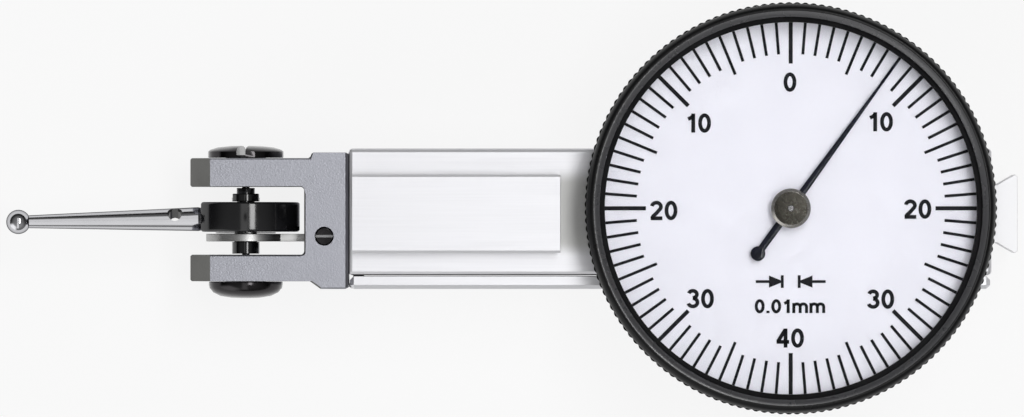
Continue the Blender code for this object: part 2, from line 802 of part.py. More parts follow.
def make_stylus():
    """The stylus hub with its flat, the tapered stylus and the ball at its tip."""
    half_flat = math.degrees(math.acos(hub_flat_reach / hub_radius))
    rim = arc(hub_radius, half_flat - 180, 180 - half_flat, large_steps - 12)
    bore = circle(arbor_radius + small_gap)
    hub = plate("stylus_hub", [rim, bore], hub_top + hub_low, at_y(hub_floor, pivot_x), "+Y")
    bevel(hub, hub_edge)
    flat_x = pivot_x - hub_flat_reach
    socket = stylus_stub_length + seat_gap
    stub_hole = hole(stylus_stub_radius + small_gap, socket, at_y(-stylus_drop, flat_x), "+X", middle_steps)
    stub_hole.rotation_euler[2] = stylus_tilt
    stub_hole.location[1] -= overrun * math.tan(stylus_tilt)
    cut(hub, stub_hole)
    give(hub, "black_steel")
    reach = stylus_length - hub_flat_reach
    profile = [
        (0, reach),
        (stylus_tip_radius, reach),
        (stylus_root_radius, stylus_shoulder),
        (stylus_root_radius - small_gap, small_gap),
        (stylus_stub_radius, small_gap),
        (stylus_stub_radius, -stylus_stub_length),
        (0, -stylus_stub_length),
    ]
    stylus = turned("stylus", profile, at_y(-stylus_drop, flat_x), "-X", middle_steps)
    stylus.rotation_euler[2] = stylus_tilt
    ball_at = at_y(ball_y, ball_x)
    bm = bmesh.new()
    bmesh.ops.create_uvsphere(bm, u_segments=20, v_segments=12, radius=ball_radius + small_gap)
    seat = from_bmesh(bm, "ball_seat")
    seat.location = ball_at
    back = stylus_root_radius + overrun
    hole_y = -stylus_drop - (stylus_hole_reach - hub_flat_reach) * math.tan(stylus_tilt)
    hole_at = (pivot_x - stylus_hole_reach, hole_y - back * math.sin(stylus_hole_turn),
               mid_z - back * math.cos(stylus_hole_turn))
    cross = rod("cross_hole", stylus_hole_radius, 2 * back, hole_at)
    cross.rotation_euler[0] = -stylus_hole_turn
    give(cut(stylus, seat, cross), "satin_chrome")
    bm = bmesh.new()
    bmesh.ops.create_uvsphere(bm, u_segments=20, v_segments=12, radius=ball_radius)
    ball = from_bmesh(bm, "stylus_ball")
    ball.location = ball_at
    give(ball, "bright_steel")


def polar(radius, degrees):
    """A point of an outline that lies across the mid plane, with positive angles towards the dial."""
    turn = math.radians(degrees)
    return (radius * math.cos(turn), -radius * math.sin(turn))


def tooth_points(centre, pitch, root, tip):
    """The four corners of one straight sided tooth, as (radius, degrees)."""
    return [
        (root, centre - root_share * pitch),
        (tip, centre - tip_share * pitch),
        (tip, centre + tip_share * pitch),
        (root, centre + root_share * pitch),
    ]


def gear_outline(teeth, pitch_radius, module, first):
    """A full gear as (radius, degrees) points. The first tooth is centred on a given angle."""
    pitch = 360 / teeth
    root = pitch_radius - module * dedendum_share
    tip = pitch_radius + module * addendum_share
    points = []
    for tooth in range(teeth):
        points += tooth_points(first + tooth * pitch, pitch, root, tip)
    return points


def make_lever():
    """The lever on the arbor, and the sector gear screwed under its end."""
    root_half, end_half = lever_root_width / 2, lever_end_width / 2
    start = math.degrees(math.asin(root_half / lever_eye_radius))
    tail = lever_reach - lever_tail_length
    outline = [
        *arc(lever_eye_radius, start, 360 - start, middle_steps),
        (tail, -end_half),
        (tail + end_half, -lever_tail_rise),
        (lever_reach, -lever_tail_rise),
        (lever_reach, end_half),
    ]
    holes = [circle(arbor_radius + small_gap)]
    screw_reach = lever_reach - sector_lap / 2
    screw_places = [(screw_reach, sector_screw["head"] * share) for share in sector_screw_shares]
    clear = sector_screw["shank"] + small_gap
    holes += [circle(clear, 12, x, -z) for x, z in screw_places]
    lever = plate("lever", [outline, *holes], lever_thickness, at_y(lever_low, pivot_x), "+Y")
    give(lever, "bright_steel")
    pitch = 360 / sector_teeth
    root = sector_pitch - sector_module * dedendum_share
    tip = sector_pitch + sector_module * addendum_share
    last = math.ceil(travel_degrees / pitch) + 1
    inner = sector_pitch - sector_depth
    points = [(inner, (last - 0.55) * pitch), (inner, -0.95 * pitch), (root, -0.95 * pitch)]
    for tooth in range(last + 1):
        points += tooth_points((tooth - 0.5) * pitch, pitch, root, tip)
    points.append((root, (last - 0.05) * pitch))
    outline = [polar(radius, degrees) for radius, degrees in points]
    screw_holes = [circle(clear, 12, x, -z) for x, z in screw_places]
    sector = plate("sector_gear", [outline, *screw_holes], sector_thickness, at_y(sector_low, pivot_x), "+Y")
    give(sector, "brass")
    for number, (x, z) in enumerate(screw_places, 1):
        place_at = (pivot_x + x, small_gap - lever_top, mid_z + z)
        screw(f"sector_screw_{number}", sector_screw, lever_thickness + sector_thickness,
              place_at, "+Y", "black_steel", slot_degrees=30 * number)


def make_crown():
    """The crown arbor with its pinion, the crown gear, the collet and the hairspring."""
    top, low = cavity_top - seat_gap, bridge_top + seat_gap
    tip, thick = crown_pivot_radius, crown_arbor_radius
    profile = [
        (0, top + crown_pivot_length),
        (tip, top + crown_pivot_length),
        (tip, top),
        (thick, top),
        (thick, low),
        (tip, low),
        (tip, low - crown_pivot_length),
        (0, low - crown_pivot_length),
    ]
    arbor = turned("crown_arbor", profile, at_y(0), "+Y", small_steps)
    points = gear_outline(crown_pinion_teeth, crown_pinion_pitch, sector_module, 180)
    pinion = plate("crown_pinion", [[polar(*point) for point in points]], crown_pinion_length,
                   at_y(crown_pinion_low), "+Y")
    give(join(arbor, pinion), "bright_steel")
    rim = crown_pitch + fine_module
    gear = turned("crown_gear", [(crown_arbor_radius + small_gap, crown_thickness), (rim, crown_thickness),
                                 (rim, 0), (crown_arbor_radius + small_gap, 0)],
                  at_y(crown_low), "+Y", middle_steps, ring=True)
    bm = bmesh.new()
    pitch = 2 * math.pi / crown_teeth
    sink = fine_module
    height = crown_tip_y - crown_face_y + sink
    for tooth in range(crown_teeth):
        made = bmesh.ops.create_cube(bm, size=1)["verts"]
        for corner in made:
            share = root_share if corner.co.z < 0 else tip_share
            corner.co.x *= crown_face - sink / 4
            corner.co.y *= 2 * share * pitch * crown_pitch
            corner.co.z *= height
        middle = (rim - crown_face / 2 - sink / 4, 0, crown_thickness - sink + height / 2)
        bmesh.ops.translate(bm, vec=middle, verts=made)
        turn = -math.pi / 2 + (tooth + 0.5) * pitch
        bmesh.ops.rotate(bm, cent=(0, 0, 0), matrix=Matrix.Rotation(turn, 3, "Z"), verts=made)
    teeth = place(from_bmesh(bm, "crown_teeth"), at_y(crown_low), "+Y")
    give(join(gear, teeth), "brass")
    spring_y = (crown_pinion_high + crown_low) / 2
    ring("hairspring_collet", collet_radius, crown_arbor_radius + small_gap, collet_height,
         at_y(spring_y - collet_height / 2), "+Y", "brass", small_steps)
    make_hairspring(spring_y)


def make_hairspring(level):
    """The flat spiral spring, from beside the collet out to its stud on the bridge."""
    curve = bpy.data.curves.new("hairspring", "CURVE")
    curve.dimensions = "3D"
    curve.bevel_depth = spring_wire
    curve.bevel_resolution = 0
    curve.use_fill_caps = True
    count = spring_turns * spring_points_per_turn + 1
    spline = curve.splines.new("POLY")
    spline.points.add(count - 1)
    for step, point in enumerate(spline.points):
        turn = 2 * math.pi * step / spring_points_per_turn
        radius = spring_inner + (spring_outer - spring_inner) * step / (count - 1)
        point.co = (radius * math.cos(turn), radius * math.sin(turn), 0, 1)
    drawn = bpy.data.objects.new("hairspring_line", curve)
    PART.objects.link(drawn)
    bpy.context.view_layer.update()
    mesh = bpy.data.meshes.new_from_object(drawn.evaluated_get(bpy.context.evaluated_depsgraph_get()))
    bpy.data.objects.remove(drawn, do_unlink=True)
    bm = bmesh.new()
    bm.from_mesh(mesh)
    bmesh.ops.remove_doubles(bm, verts=bm.verts, dist=weld_distance)
    bmesh.ops.recalc_face_normals(bm, faces=bm.faces)
    bpy.data.meshes.remove(mesh)
    spring = place(from_bmesh(bm, "hairspring"), at_y(level), "+Y")
    give(spring, "bright_steel")
    length = level + 2 * spring_wire - bridge_top - small_gap
    stud_x = spring_outer + spring_wire + small_gap + stud_radius
    stud = rod("hairspring_stud", stud_radius, length, at_y(bridge_top + small_gap, stud_x), "+Y", 12)
    give(stud, "brass")


def jewel(name, radius, pivot_radius, at, facing):
    """A ruby bearing ring."""
    return ring(name, radius, pivot_radius + small_gap, jewel_thickness, at, facing, "ruby", small_steps)


def make_bridges():
    """The movement bridge and the spindle bridge, with their screws and jewels."""
    low = (-bridge_left, bridge_low, mid_z - bridge_depth / 2)
    bridge = block("movement_bridge", low, (bridge_right, bridge_top, mid_z + bridge_depth / 2))
    bevel(bridge, seat_gap)
    seat = jewel_radius + small_gap
    cut(bridge, hole(seat, bridge_thickness + overrun, at_y(bridge_low), "+Y", small_steps))
    for number, z in enumerate(bridge_screw_places, 1):
        cut(bridge, hole(bridge_screw["shank"] + small_gap, bridge_thickness + overrun,
                         at_y(bridge_low, bridge_post_x, z), "+Y"))
        screw(f"bridge_screw_{number}", bridge_screw, bridge_screw_length,
              at_y(bridge_low - small_gap, bridge_post_x, z), "-Y", "bright_steel", 25 * number)
    give(bridge, "brass")
    jewel("crown_jewel_lower", jewel_radius, crown_pivot_radius, at_y(bridge_top - small_gap), "-Y")
    jewel("crown_jewel_upper", jewel_radius, crown_pivot_radius, at_y(cavity_top + small_gap), "+Y")
    half, plate_z = spindle_bridge_width / 2, spindle_bridge_level + spindle_bridge_plate
    top = cavity_top - small_gap
    outline = [
        (-spindle_bridge_level, -spindle_bridge_drop),
        (-spindle_bridge_level, top),
        (-plate_z - spindle_bridge_foot, top),
        (-plate_z - spindle_bridge_foot, spindle_foot_low),
        (-plate_z, spindle_foot_low),
        (-plate_z, -spindle_bridge_drop),
    ]
    bracket = plate("spindle_bridge", [outline], 2 * half, (-half, 0, 0), "+X")
    cut(bracket, hole(seat, spindle_bridge_plate + overrun, (0, 0, plate_z), "-Z", small_steps))
    for number, x in enumerate(spindle_screw_places, 1):
        cut(bracket, hole(bridge_screw["shank"] + small_gap, spindle_bridge_plate + overrun,
                          at_y(spindle_foot_low, x, spindle_foot_z), "+Y"))
        length = spindle_bridge_plate + body_top_wall * 0.6
        screw(f"spindle_bridge_screw_{number}", spindle_screw, length,
              at_y(spindle_foot_low - small_gap, x, spindle_foot_z), "-Y", "bright_steel", 50 * number)
    give(bracket, "brass")
    jewel("spindle_jewel_back", jewel_radius, spindle_pivot_radius,
          (0, 0, spindle_bridge_level + small_gap), "+Z")


def make_spindle():
    """The centre spindle that carries the pointer, with its pinion."""
    low = spindle_bridge_level + spindle_bridge_plate + small_gap
    pivot_end = spindle_bridge_level + seat_gap
    top = pointer_top + pointer_hub_height * 0.6
    shoulder = case_floor_top
    profile = [
        (0, top),
        (spindle_top_radius, top),
        (spindle_top_radius, shoulder),
        (spindle_radius, shoulder),
        (spindle_radius, low),
        (spindle_pivot_radius, low),
        (spindle_pivot_radius, pivot_end),
        (0, pivot_end),
    ]
    spindle = turned("centre_spindle", profile, (0, 0, 0), "+Z", small_steps)
    points = gear_outline(centre_pinion_teeth, centre_pitch, fine_module, -90)
    flat = [(radius * math.cos(math.radians(turn)), radius * math.sin(math.radians(turn)))
            for radius, turn in points]
    pinion = plate("centre_pinion", [flat], centre_pinion_length, (0, 0, centre_pinion_low))
    give(join(spindle, pinion), "bright_steel")


def make_pointer():
    """The pointer with its round tail weight, and the hub cap over it."""
    tip, root = pointer_tip_width / 2, pointer_root_width / 2
    lean = math.degrees(math.asin(root / pointer_eye_radius))
    neck = root * 0.55
    tail_lean = math.degrees(math.asin(neck / pointer_eye_radius))
    disc_lean = math.degrees(math.asin(neck / pointer_disc_radius))
    outline = [
        (tip, pointer_reach),
        *arc(pointer_eye_radius, 90 - lean, tail_lean - 90, 8),
        *arc(pointer_disc_radius, 90 - disc_lean, disc_lean - 270, 16, 0, -pointer_tail),
        *arc(pointer_eye_radius, -90 - tail_lean, lean - 270, 8),
        (-tip, pointer_reach),
    ]
    eye = circle(spindle_top_radius + small_gap, small_steps)
    pointer = plate("pointer", [outline, eye], pointer_thickness, (0, 0, pointer_low))
    pointer.rotation_euler = (0, 0, -math.radians(pointer_degrees))
    give(pointer, "pointer_black")
    bore = spindle_top_radius + small_gap
    top, under = pointer_hub_height, pointer_top + small_gap
    profile = [
        (0, top),
        (pointer_hub_radius * 0.83, top),
        (pointer_hub_radius * 0.93, top * 0.78),
        (pointer_hub_radius, top * 0.4),
        (pointer_hub_radius, 0),
        (bore, 0),
        (bore, top * 0.75),
        (0, top * 0.75),
    ]
    give(turned("pointer_hub", profile, (0, 0, under), "+Z", middle_steps), "bronze_hub")


def make_case():
    """The dial case, screwed to the housing, which the bezel turns on."""
    wall, inner = case_wall_radius, case_wall_radius - case_wall
    groove_low = case_low + ring_groove_level
    groove_high = groove_low + ring_groove_height
    flange = case_low + bezel_lift - seat_gap
    boss = case_low - case_boss_drop
    lip = boss + small_gap * 4
    seat = front_jewel_radius + small_gap
    profile = [
        (inner, case_top),
        (wall, case_top),
        (wall, groove_high),
        (wall - ring_groove_depth, groove_high),
        (wall - ring_groove_depth, groove_low),
        (wall, groove_low),
        (wall, flange),
        (case_flange_radius, flange),
        (case_flange_radius, case_low),
        (case_boss_radius, case_low),
        (case_boss_radius, boss),
        (spindle_radius + seat_gap, boss),
        (spindle_radius + seat_gap, lip),
        (seat, lip),
        (seat, case_floor_top),
        (inner, case_floor_top),
    ]
    case = turned("dial_case", profile, (0, 0, 0), "+Z", case_steps, ring=True)
    for number, (x, y) in enumerate(case_screw_places, 1):
        cut(case, hole(case_screw["shank"] + small_gap, case_floor + overrun, (x, y, case_floor_top), "-Z"))
        screw(f"dial_case_screw_{number}", case_screw, case_screw_length,
              (x, y, case_floor_top + small_gap), "+Z", "bright_steel", 70 * number)
    give(case, "satin_chrome")
    jewel("spindle_jewel_front", front_jewel_radius, spindle_radius, (0, 0, lip + small_gap), "+Z")
    outer = bezel_skirt_radius + bezel_groove_depth - seat_gap
    snap = ring("bezel_friction_ring", outer, wall - ring_groove_depth + small_gap,
                ring_groove_height - 2 * small_gap, (0, 0, groove_low + small_gap), "+Z", "brass", case_steps)
    half = ring_groove_height
    cut(snap, block("ring_gap", (0, -half, case_low), (bezel_radius, half, case_top)))


def knurl_outline(radius, teeth, depth):
    """A star shaped outline with straight sided teeth."""
    points = []
    for tooth in range(teeth):
        turn = 2 * math.pi * tooth / teeth
        half = math.pi / teeth
        points.append((radius * math.cos(turn), radius * math.sin(turn)))
        points.append(((radius - depth) * math.cos(turn + half), (radius - depth) * math.sin(turn + half)))
    return points


def make_bezel():
    """The knurled bezel with the crystal, its gasket, the dial plate and the dial's retaining ring."""
    base = bezel_radius - knurl_depth - small_gap
    rim = base - bezel_crown
    groove_low = case_low + ring_groove_level - small_gap
    groove_high = groove_low + ring_groove_height + 2 * small_gap
    ledge = bezel_low + bezel_dial_seat
    seat = bezel_low + bezel_crystal_seat
    groove = bezel_skirt_radius + bezel_groove_depth
    crown = arc(bezel_crown, 90, 0, 4, rim, bezel_top - bezel_crown)
    profile = [
        (crystal_bore_radius, bezel_top - seat_gap),
        *crown,
        (base, bezel_low + seat_gap),
        (base - seat_gap, bezel_low),
        (bezel_skirt_radius, bezel_low),
        (bezel_skirt_radius, groove_low),
        (groove, groove_low),
        (groove, groove_high),
        (bezel_skirt_radius, groove_high),
        (bezel_skirt_radius, ledge),
        (bezel_opening_radius, ledge),
        (bezel_opening_radius, seat),
        (crystal_bore_radius, seat),
    ]
    bezel = turned("bezel", profile, (0, 0, 0), "+Z", large_steps, ring=True)
    star = knurl_outline(bezel_radius, knurl_teeth, knurl_depth)
    core = circle(bezel_radius - 2 * knurl_depth - seat_gap, large_steps)
    knurl = plate("knurl", [star, core], knurl_height, (0, 0, bezel_low + 2 * seat_gap))
    give(join(bezel, knurl), "dark_chrome")
    crystal_radius = crystal_bore_radius - gasket_thickness - 2 * small_gap
    profile = [
        (0, crystal_thickness),
        (crystal_radius - seat_gap, crystal_thickness),
        (crystal_radius, crystal_thickness - seat_gap),
        (crystal_radius, 0),
        (0, 0),
    ]
    give(turned("crystal", profile, (0, 0, crystal_low), "+Z", large_steps), "crystal")
    ring("crystal_gasket", crystal_bore_radius - small_gap, crystal_radius + small_gap,
         crystal_thickness, (0, 0, crystal_low), "+Z", "black_rubber", large_steps)
    disc = bezel_skirt_radius - seat_gap
    ring("dial_plate", disc, dial_hole_radius, dial_thickness, (0, 0, dial_low), "+Z",
         "dial_white", large_steps)
    ring("dial_retaining_ring", disc, disc - retainer_width, retainer_thickness,
         (0, 0, dial_low - small_gap - retainer_thickness), "+Z", "bright_steel", large_steps)


make_body()
make_cover()
make_fork()
make_pivot()
make_stylus()
make_lever()
make_crown()
make_bridges()
make_spindle()
make_pointer()
make_case()
make_bezel()
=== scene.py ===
"""Scene of a lever type dial test indicator: its finished surfaces, materials, light and camera.

It is laid out as a Blender add-on. Each operator builds one piece or one group of like pieces over the
jointed solids that the frame holds, in metres, with the solids' own origin and axes.
"""
import json
import math

import bmesh
import bpy
import numpy as np
from bpy.props import FloatProperty, FloatVectorProperty, IntProperty, PointerProperty
from bpy.types import Operator, Panel, PropertyGroup
from mathutils import Matrix, Vector


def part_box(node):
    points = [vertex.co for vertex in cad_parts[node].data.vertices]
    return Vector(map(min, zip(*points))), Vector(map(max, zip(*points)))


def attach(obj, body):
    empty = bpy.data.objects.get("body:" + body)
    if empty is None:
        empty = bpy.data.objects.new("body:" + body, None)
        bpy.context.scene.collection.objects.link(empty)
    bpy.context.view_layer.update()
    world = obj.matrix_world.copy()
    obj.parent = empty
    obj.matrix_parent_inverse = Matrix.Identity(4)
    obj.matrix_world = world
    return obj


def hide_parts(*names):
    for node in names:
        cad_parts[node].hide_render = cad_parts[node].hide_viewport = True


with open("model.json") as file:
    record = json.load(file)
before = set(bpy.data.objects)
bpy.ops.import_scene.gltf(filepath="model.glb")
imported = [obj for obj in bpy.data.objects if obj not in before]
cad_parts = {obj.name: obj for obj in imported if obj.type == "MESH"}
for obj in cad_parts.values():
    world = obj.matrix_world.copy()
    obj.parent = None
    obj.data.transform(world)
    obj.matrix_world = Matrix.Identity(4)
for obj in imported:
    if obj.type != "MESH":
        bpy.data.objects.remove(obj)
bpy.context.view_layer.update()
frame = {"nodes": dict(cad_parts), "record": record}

bl_info = {
    "name": "Dial Test Indicator",
    "version": (1, 0, 0),
    "blender": (4, 5, 0),
    "location": "View3D > Sidebar > Indicator",
    "description": "Builds the finished surfaces of a lever type dial test indicator over its solids",
    "category": "Add Mesh",
}

bodies = frame["record"]["behaviour"]["bodies"]
mm = 0.001
SAME_POINT = 1e-7  # points of a computed surface closer than this are one point
SAME_SOLID_POINT = 2e-6  # and points of a copied solid closer than this
EDGE_ANGLE = 32  # degrees: where faces turn by more than this, there is an edge


# ---- surfaces from arrays


def add_object(name, data):
    """A new object in the scene that shows this mesh, lamp or camera."""
    obj = bpy.data.objects.new(name, data)
    bpy.context.scene.collection.objects.link(obj)
    return obj


def mesh_object(name, points, faces, merge=True):
    """An object whose mesh has these points and faces, with its faces outwards.

    `faces` is an array or a list of lists. Where `merge` holds, seams and poles are closed too.
    """
    mesh = bpy.data.meshes.new(name)
    mesh.from_pydata(points.tolist(), [], faces if isinstance(faces, list) else faces.tolist())
    cells = bmesh.new()
    cells.from_mesh(mesh)
    if merge:
        bmesh.ops.remove_doubles(cells, verts=cells.verts, dist=SAME_POINT)
        bmesh.ops.dissolve_degenerate(cells, edges=cells.edges, dist=SAME_POINT)
    bmesh.ops.recalc_face_normals(cells, faces=cells.faces)
    cells.to_mesh(mesh)
    cells.free()
    return add_object(name, mesh)


def grid_faces(rows, columns, round_rows=False, round_columns=False):
    """Indices of the four sided cells of a rows by columns grid, closed on itself where that is asked for."""
    row = np.arange(rows if round_rows else rows - 1)[:, None]
    column = np.arange(columns if round_columns else columns - 1)[None, :]
    next_row, next_column = (row + 1) % rows, (column + 1) % columns
    cells = [row * columns + column, next_row * columns + column,
             next_row * columns + next_column, row * columns + next_column]
    return np.stack(cells, axis=-1).reshape(-1, 4)


def smooth(obj, degrees=EDGE_ANGLE):
    """Shade smooth, keep edges sharp that turn by more than this angle, and let large faces stay flat."""
    obj.data.shade_smooth()
    obj.data.set_sharp_from_angle(angle=math.radians(degrees))
    even = obj.modifiers.new("even", "WEIGHTED_NORMAL")
    even.keep_sharp = True
    return obj


def eased(corners, ease):
    """A profile with rounded corners: at each inner corner, a parabola from one side to the other.

    The parabola is (1-t)^2 A + 2t(1-t) P + t^2 B, where P is the corner and A and B lie `ease` from it.
    """
    corners = np.asarray(corners, float)
    t = np.linspace(0, 1, 4)[:, None]
    out = [corners[:1]]
    for before, corner, after in zip(corners[:-2], corners[1:-1], corners[2:]):
        back, ahead = before - corner, after - corner
        length = min(ease, 0.45 * np.linalg.norm(back), 0.45 * np.linalg.norm(ahead))
        a = corner + back / np.linalg.norm(back) * length
        b = corner + ahead / np.linalg.norm(ahead) * length
        out.append((1 - t) ** 2 * a + 2 * t * (1 - t) * corner + t ** 2 * b)
    out.append(corners[-1:])
    return np.concatenate(out)


def turned(name, profile, centre=(0, 0, 0), steps=96, closed=False):
    """A turned surface: the profile's points (r, h) carried round Z, (r cos a, r sin a, h)."""
    profile = np.asarray(profile, float)
    angle = np.linspace(0, 2 * math.pi, steps, endpoint=False)[:, None]
    r, h = profile[None, :, 0], profile[None, :, 1]
    points = np.stack([r * np.cos(angle), r * np.sin(angle), h + 0 * angle], axis=-1).reshape(-1, 3)
    faces = grid_faces(steps, len(profile), round_rows=True, round_columns=closed)
    return smooth(mesh_object(name, points + np.asarray(centre), faces))


Z_TO_MINUS_Y = np.array([[1, 0, 0], [0, 0, 1], [0, -1, 0]], float)


def flat_sided_drum(name, node, radius, flat, edge, bore, steps=180):
    """A drum along Y with one flat side: at angle a its wall stands at min(r, f / |cos a|) on the flat's side.

    r and f shrink together over the rounded edges, and the bore keeps its own radius.
    """
    low, high = box(node)
    corner = math.acos(-flat / radius)
    angle = np.unique(np.concatenate([np.linspace(0, 2 * math.pi, steps, endpoint=False),
                                      [corner, 2 * math.pi - corner]]))[:, None]
    turn = np.linspace(0, math.pi / 2, 5)
    inset = edge * (1 - np.concatenate([np.sin(turn), np.sin(turn)[::-1]]))
    h = np.concatenate([low[1] + edge * (1 - np.cos(turn)), high[1] - edge * (1 - np.cos(turn)[::-1])])
    facing = np.maximum(-np.cos(angle), 1e-6)
    wall = np.minimum(radius - inset[None, :], (flat - inset[None, :]) / facing)
    r = np.concatenate([np.full_like(angle, bore), wall, np.full_like(angle, bore)], axis=1)
    h = np.concatenate([[low[1]], h, [high[1]]])[None, :]
    points = np.stack([r * np.cos(angle), r * np.sin(angle), h + 0 * angle], axis=-1).reshape(-1, 3)
    centre = np.array([high[0] - radius, 0, (low[2] + high[2]) / 2])
    faces = grid_faces(len(angle), r.shape[1], round_rows=True, round_columns=True)
    return smooth(mesh_object(name, points @ Z_TO_MINUS_Y.T + centre, faces), 30)


def paint_hole_shade(obj, centre, degrees, radius, finish):
    """Paint shade into a cross hole: the faces of its wall get a dark finish, for the shade inside the hole.

    The hole's axis leans from Z towards +Y, and a face is of its wall when all its points are that near to it.
    """
    mesh = obj.data
    mesh.materials.append(materials[finish])
    points = np.empty(len(mesh.vertices) * 3)
    mesh.vertices.foreach_get("co", points)
    away = points.reshape(-1, 3) - np.asarray(centre)
    axis = np.array([0, math.sin(math.radians(degrees)), math.cos(math.radians(degrees))])
    apart = np.linalg.norm(away - (away @ axis)[:, None] * axis, axis=1)
    corners = np.empty(len(mesh.loops), int)
    mesh.loops.foreach_get("vertex_index", corners)
    starts = np.empty(len(mesh.polygons), int)
    mesh.polygons.foreach_get("loop_start", starts)
    inside = np.maximum.reduceat(apart[corners], starts) < radius * 1.04
    mesh.polygons.foreach_set("material_index", inside.astype(np.int32))


SEAM_SHARE = 0.16


def close_fork_seam(cells):
    """Carry the fork's end face to the housing, over most of the small gap between the solids."""
    housing_end, fork_end = box("body")[0][0], box("fork")[1][0]
    for point in cells.verts:
        if point.co.x > fork_end - 0.01 * mm:
            point.co.x = housing_end - 0.02 * mm


def square_cover_edge(cells):
    """Make the cover's edge beside the housing square: both sides of its slope move to the edge's own place."""
    low, high = box("side_cover")
    slope, slack = 0.3 * mm, 0.01 * mm
    for point in cells.verts:
        x, y, z = point.co
        along = low[0] + slope - slack < x < high[0] - slope + slack
        if along and y > high[1] - slope - slack and z > high[2] - slope - slack:
            point.co.y, point.co.z = high[1], high[2]


def finished(name, node, width, seam=(0, 0), adjust=None):
    """A merged copy of a solid whose edges get a small round, for a piece whose shape the solid has.

    Edges that lie wholly between the two x of `seam` get about a sixth of it, so that a seam there stays
    closed. `adjust` may move points of the copy first.
    """
    cells = bmesh.new()
    cells.from_mesh(frame["nodes"][node].data)
    if adjust:
        adjust(cells)
    bmesh.ops.remove_doubles(cells, verts=cells.verts, dist=SAME_SOLID_POINT)
    bmesh.ops.dissolve_limit(cells, angle_limit=math.radians(0.5), verts=cells.verts, edges=cells.edges)
    if width:
        weight = cells.edges.layers.float.new("bevel_weight_edge")
        for edge in cells.edges:
            turns = len(edge.link_faces) == 2 and edge.calc_face_angle() > math.radians(EDGE_ANGLE)
            near = all(seam[0] < v.co.x < seam[1] for v in edge.verts)
            edge[weight] = (SEAM_SHARE if near else 1.0) if turns else 0.0
    mesh = bpy.data.meshes.new(name)
    cells.to_mesh(mesh)
    cells.free()
    obj = add_object(name, mesh)
    if width:
        edge = obj.modifiers.new("edge", "BEVEL")
        edge.width = width
        edge.segments = 2
        edge.limit_method = "WEIGHT"
    return smooth(obj)


def front_dovetail_end():
    """X of the front dovetail's right end: the furthest point of the solid's topmost level."""
    points = np.array([point.co for point in frame["nodes"]["body"].data.vertices])
    return float(points[points[:, 2] > box("body")[1][2] - 0.01 * mm][:, 0].max())


def finish_faces(obj, finish, wanted):
    """Give the faces for which wanted(middles, normals) holds their own finish."""
    mesh = obj.data
    count = len(mesh.polygons)
    middles, normals = np.empty(count * 3), np.empty(count * 3)
    mesh.polygons.foreach_get("center", middles)
    mesh.polygons.foreach_get("normal", normals)
    mesh.materials.append(materials[finish])
    mesh.polygons.foreach_set("material_index",
                              wanted(middles.reshape(-1, 3), normals.reshape(-1, 3)).astype(np.int32))


def body_of(node):
    """The body that a node rides on."""
    return next(body for body, nodes in bodies.items() if node in nodes)


def settle(obj, finish, node, instead=True):
    """Give a piece its finish and slot, and let it ride with a node's body, instead of the node or added to it."""
    obj.data.materials.clear()
    obj.data.materials.append(materials[finish])
    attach(obj, body_of(node))
    if instead:
        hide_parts(node)
    return obj


# ---- shader groups and materials


def combine(tree, operation, first, second):
    """The output of a math node over an output and another one or a number."""
    node = tree.nodes.new("ShaderNodeMath")
    node.operation = operation
    tree.links.new(first, node.inputs[0])
    if isinstance(second, float):
        node.inputs[1].default_value = second
    else:
        tree.links.new(second, node.inputs[1])
    return node.outputs[0]


def new_group(name, inputs, outputs):
    """An empty shader group with named float inputs (name: default) and outputs (name: socket type)."""
    group = bpy.data.node_groups.new(name, "ShaderNodeTree")
    for label, default in inputs.items():
        group.interface.new_socket(label, in_out="INPUT", socket_type="NodeSocketFloat").default_value = default
    for label, kind in outputs.items():
        group.interface.new_socket(label, in_out="OUTPUT", socket_type=kind)
    return group, group.nodes.new("NodeGroupInput"), group.nodes.new("NodeGroupOutput")


NOISE_OUTPUTS = {"Normal": "NodeSocketVector", "Roughness": "NodeSocketFloat", "Mask": "NodeSocketFloat"}


def put_out_noise(group, given, out, fine, broad, distance, low, high):
    """Let a fine noise tilt the normal, and let a broad one be the mask and shift the roughness.

    The broad noise's values from `low` to `high` fill the whole span of the roughness.
    """
    link = group.links.new
    bump, spread = group.nodes.new("ShaderNodeBump"), group.nodes.new("ShaderNodeMapRange")
    bump.inputs["Distance"].default_value = distance
    spread.inputs["From Min"].default_value = low
    spread.inputs["From Max"].default_value = high
    link(given.outputs["Depth"], bump.inputs["Strength"])
    link(given.outputs["Low Roughness"], spread.inputs["To Min"])
    link(given.outputs["High Roughness"], spread.inputs["To Max"])
    link(fine.outputs["Fac"], bump.inputs["Height"])
    link(broad.outputs["Fac"], spread.inputs["Value"])
    link(bump.outputs["Normal"], out.inputs["Normal"])
    link(spread.outputs["Result"], out.inputs["Roughness"])
    link(broad.outputs["Fac"], out.inputs["Mask"])


def grain_group():
    """Fine blasted grain: two noises in object space, each with a scale of its own."""
    defaults = {"Scale": 9000.0, "Broad": 420.0, "Depth": 0.1, "Low Roughness": 0.3, "High Roughness": 0.4}
    group, given, out = new_group("fine_grain", defaults, NOISE_OUTPUTS)
    place = group.nodes.new("ShaderNodeTexCoord")
    noises = []
    for scale, detail in (("Scale", 3.0), ("Broad", 4.0)):
        noise = group.nodes.new("ShaderNodeTexNoise")
        noise.inputs["Detail"].default_value = detail
        group.links.new(place.outputs["Object"], noise.inputs["Vector"])
        group.links.new(given.outputs[scale], noise.inputs["Scale"])
        noises.append(noise)
    put_out_noise(group, given, out, *noises, 0.04 * mm, 0.35, 0.65)
    return group


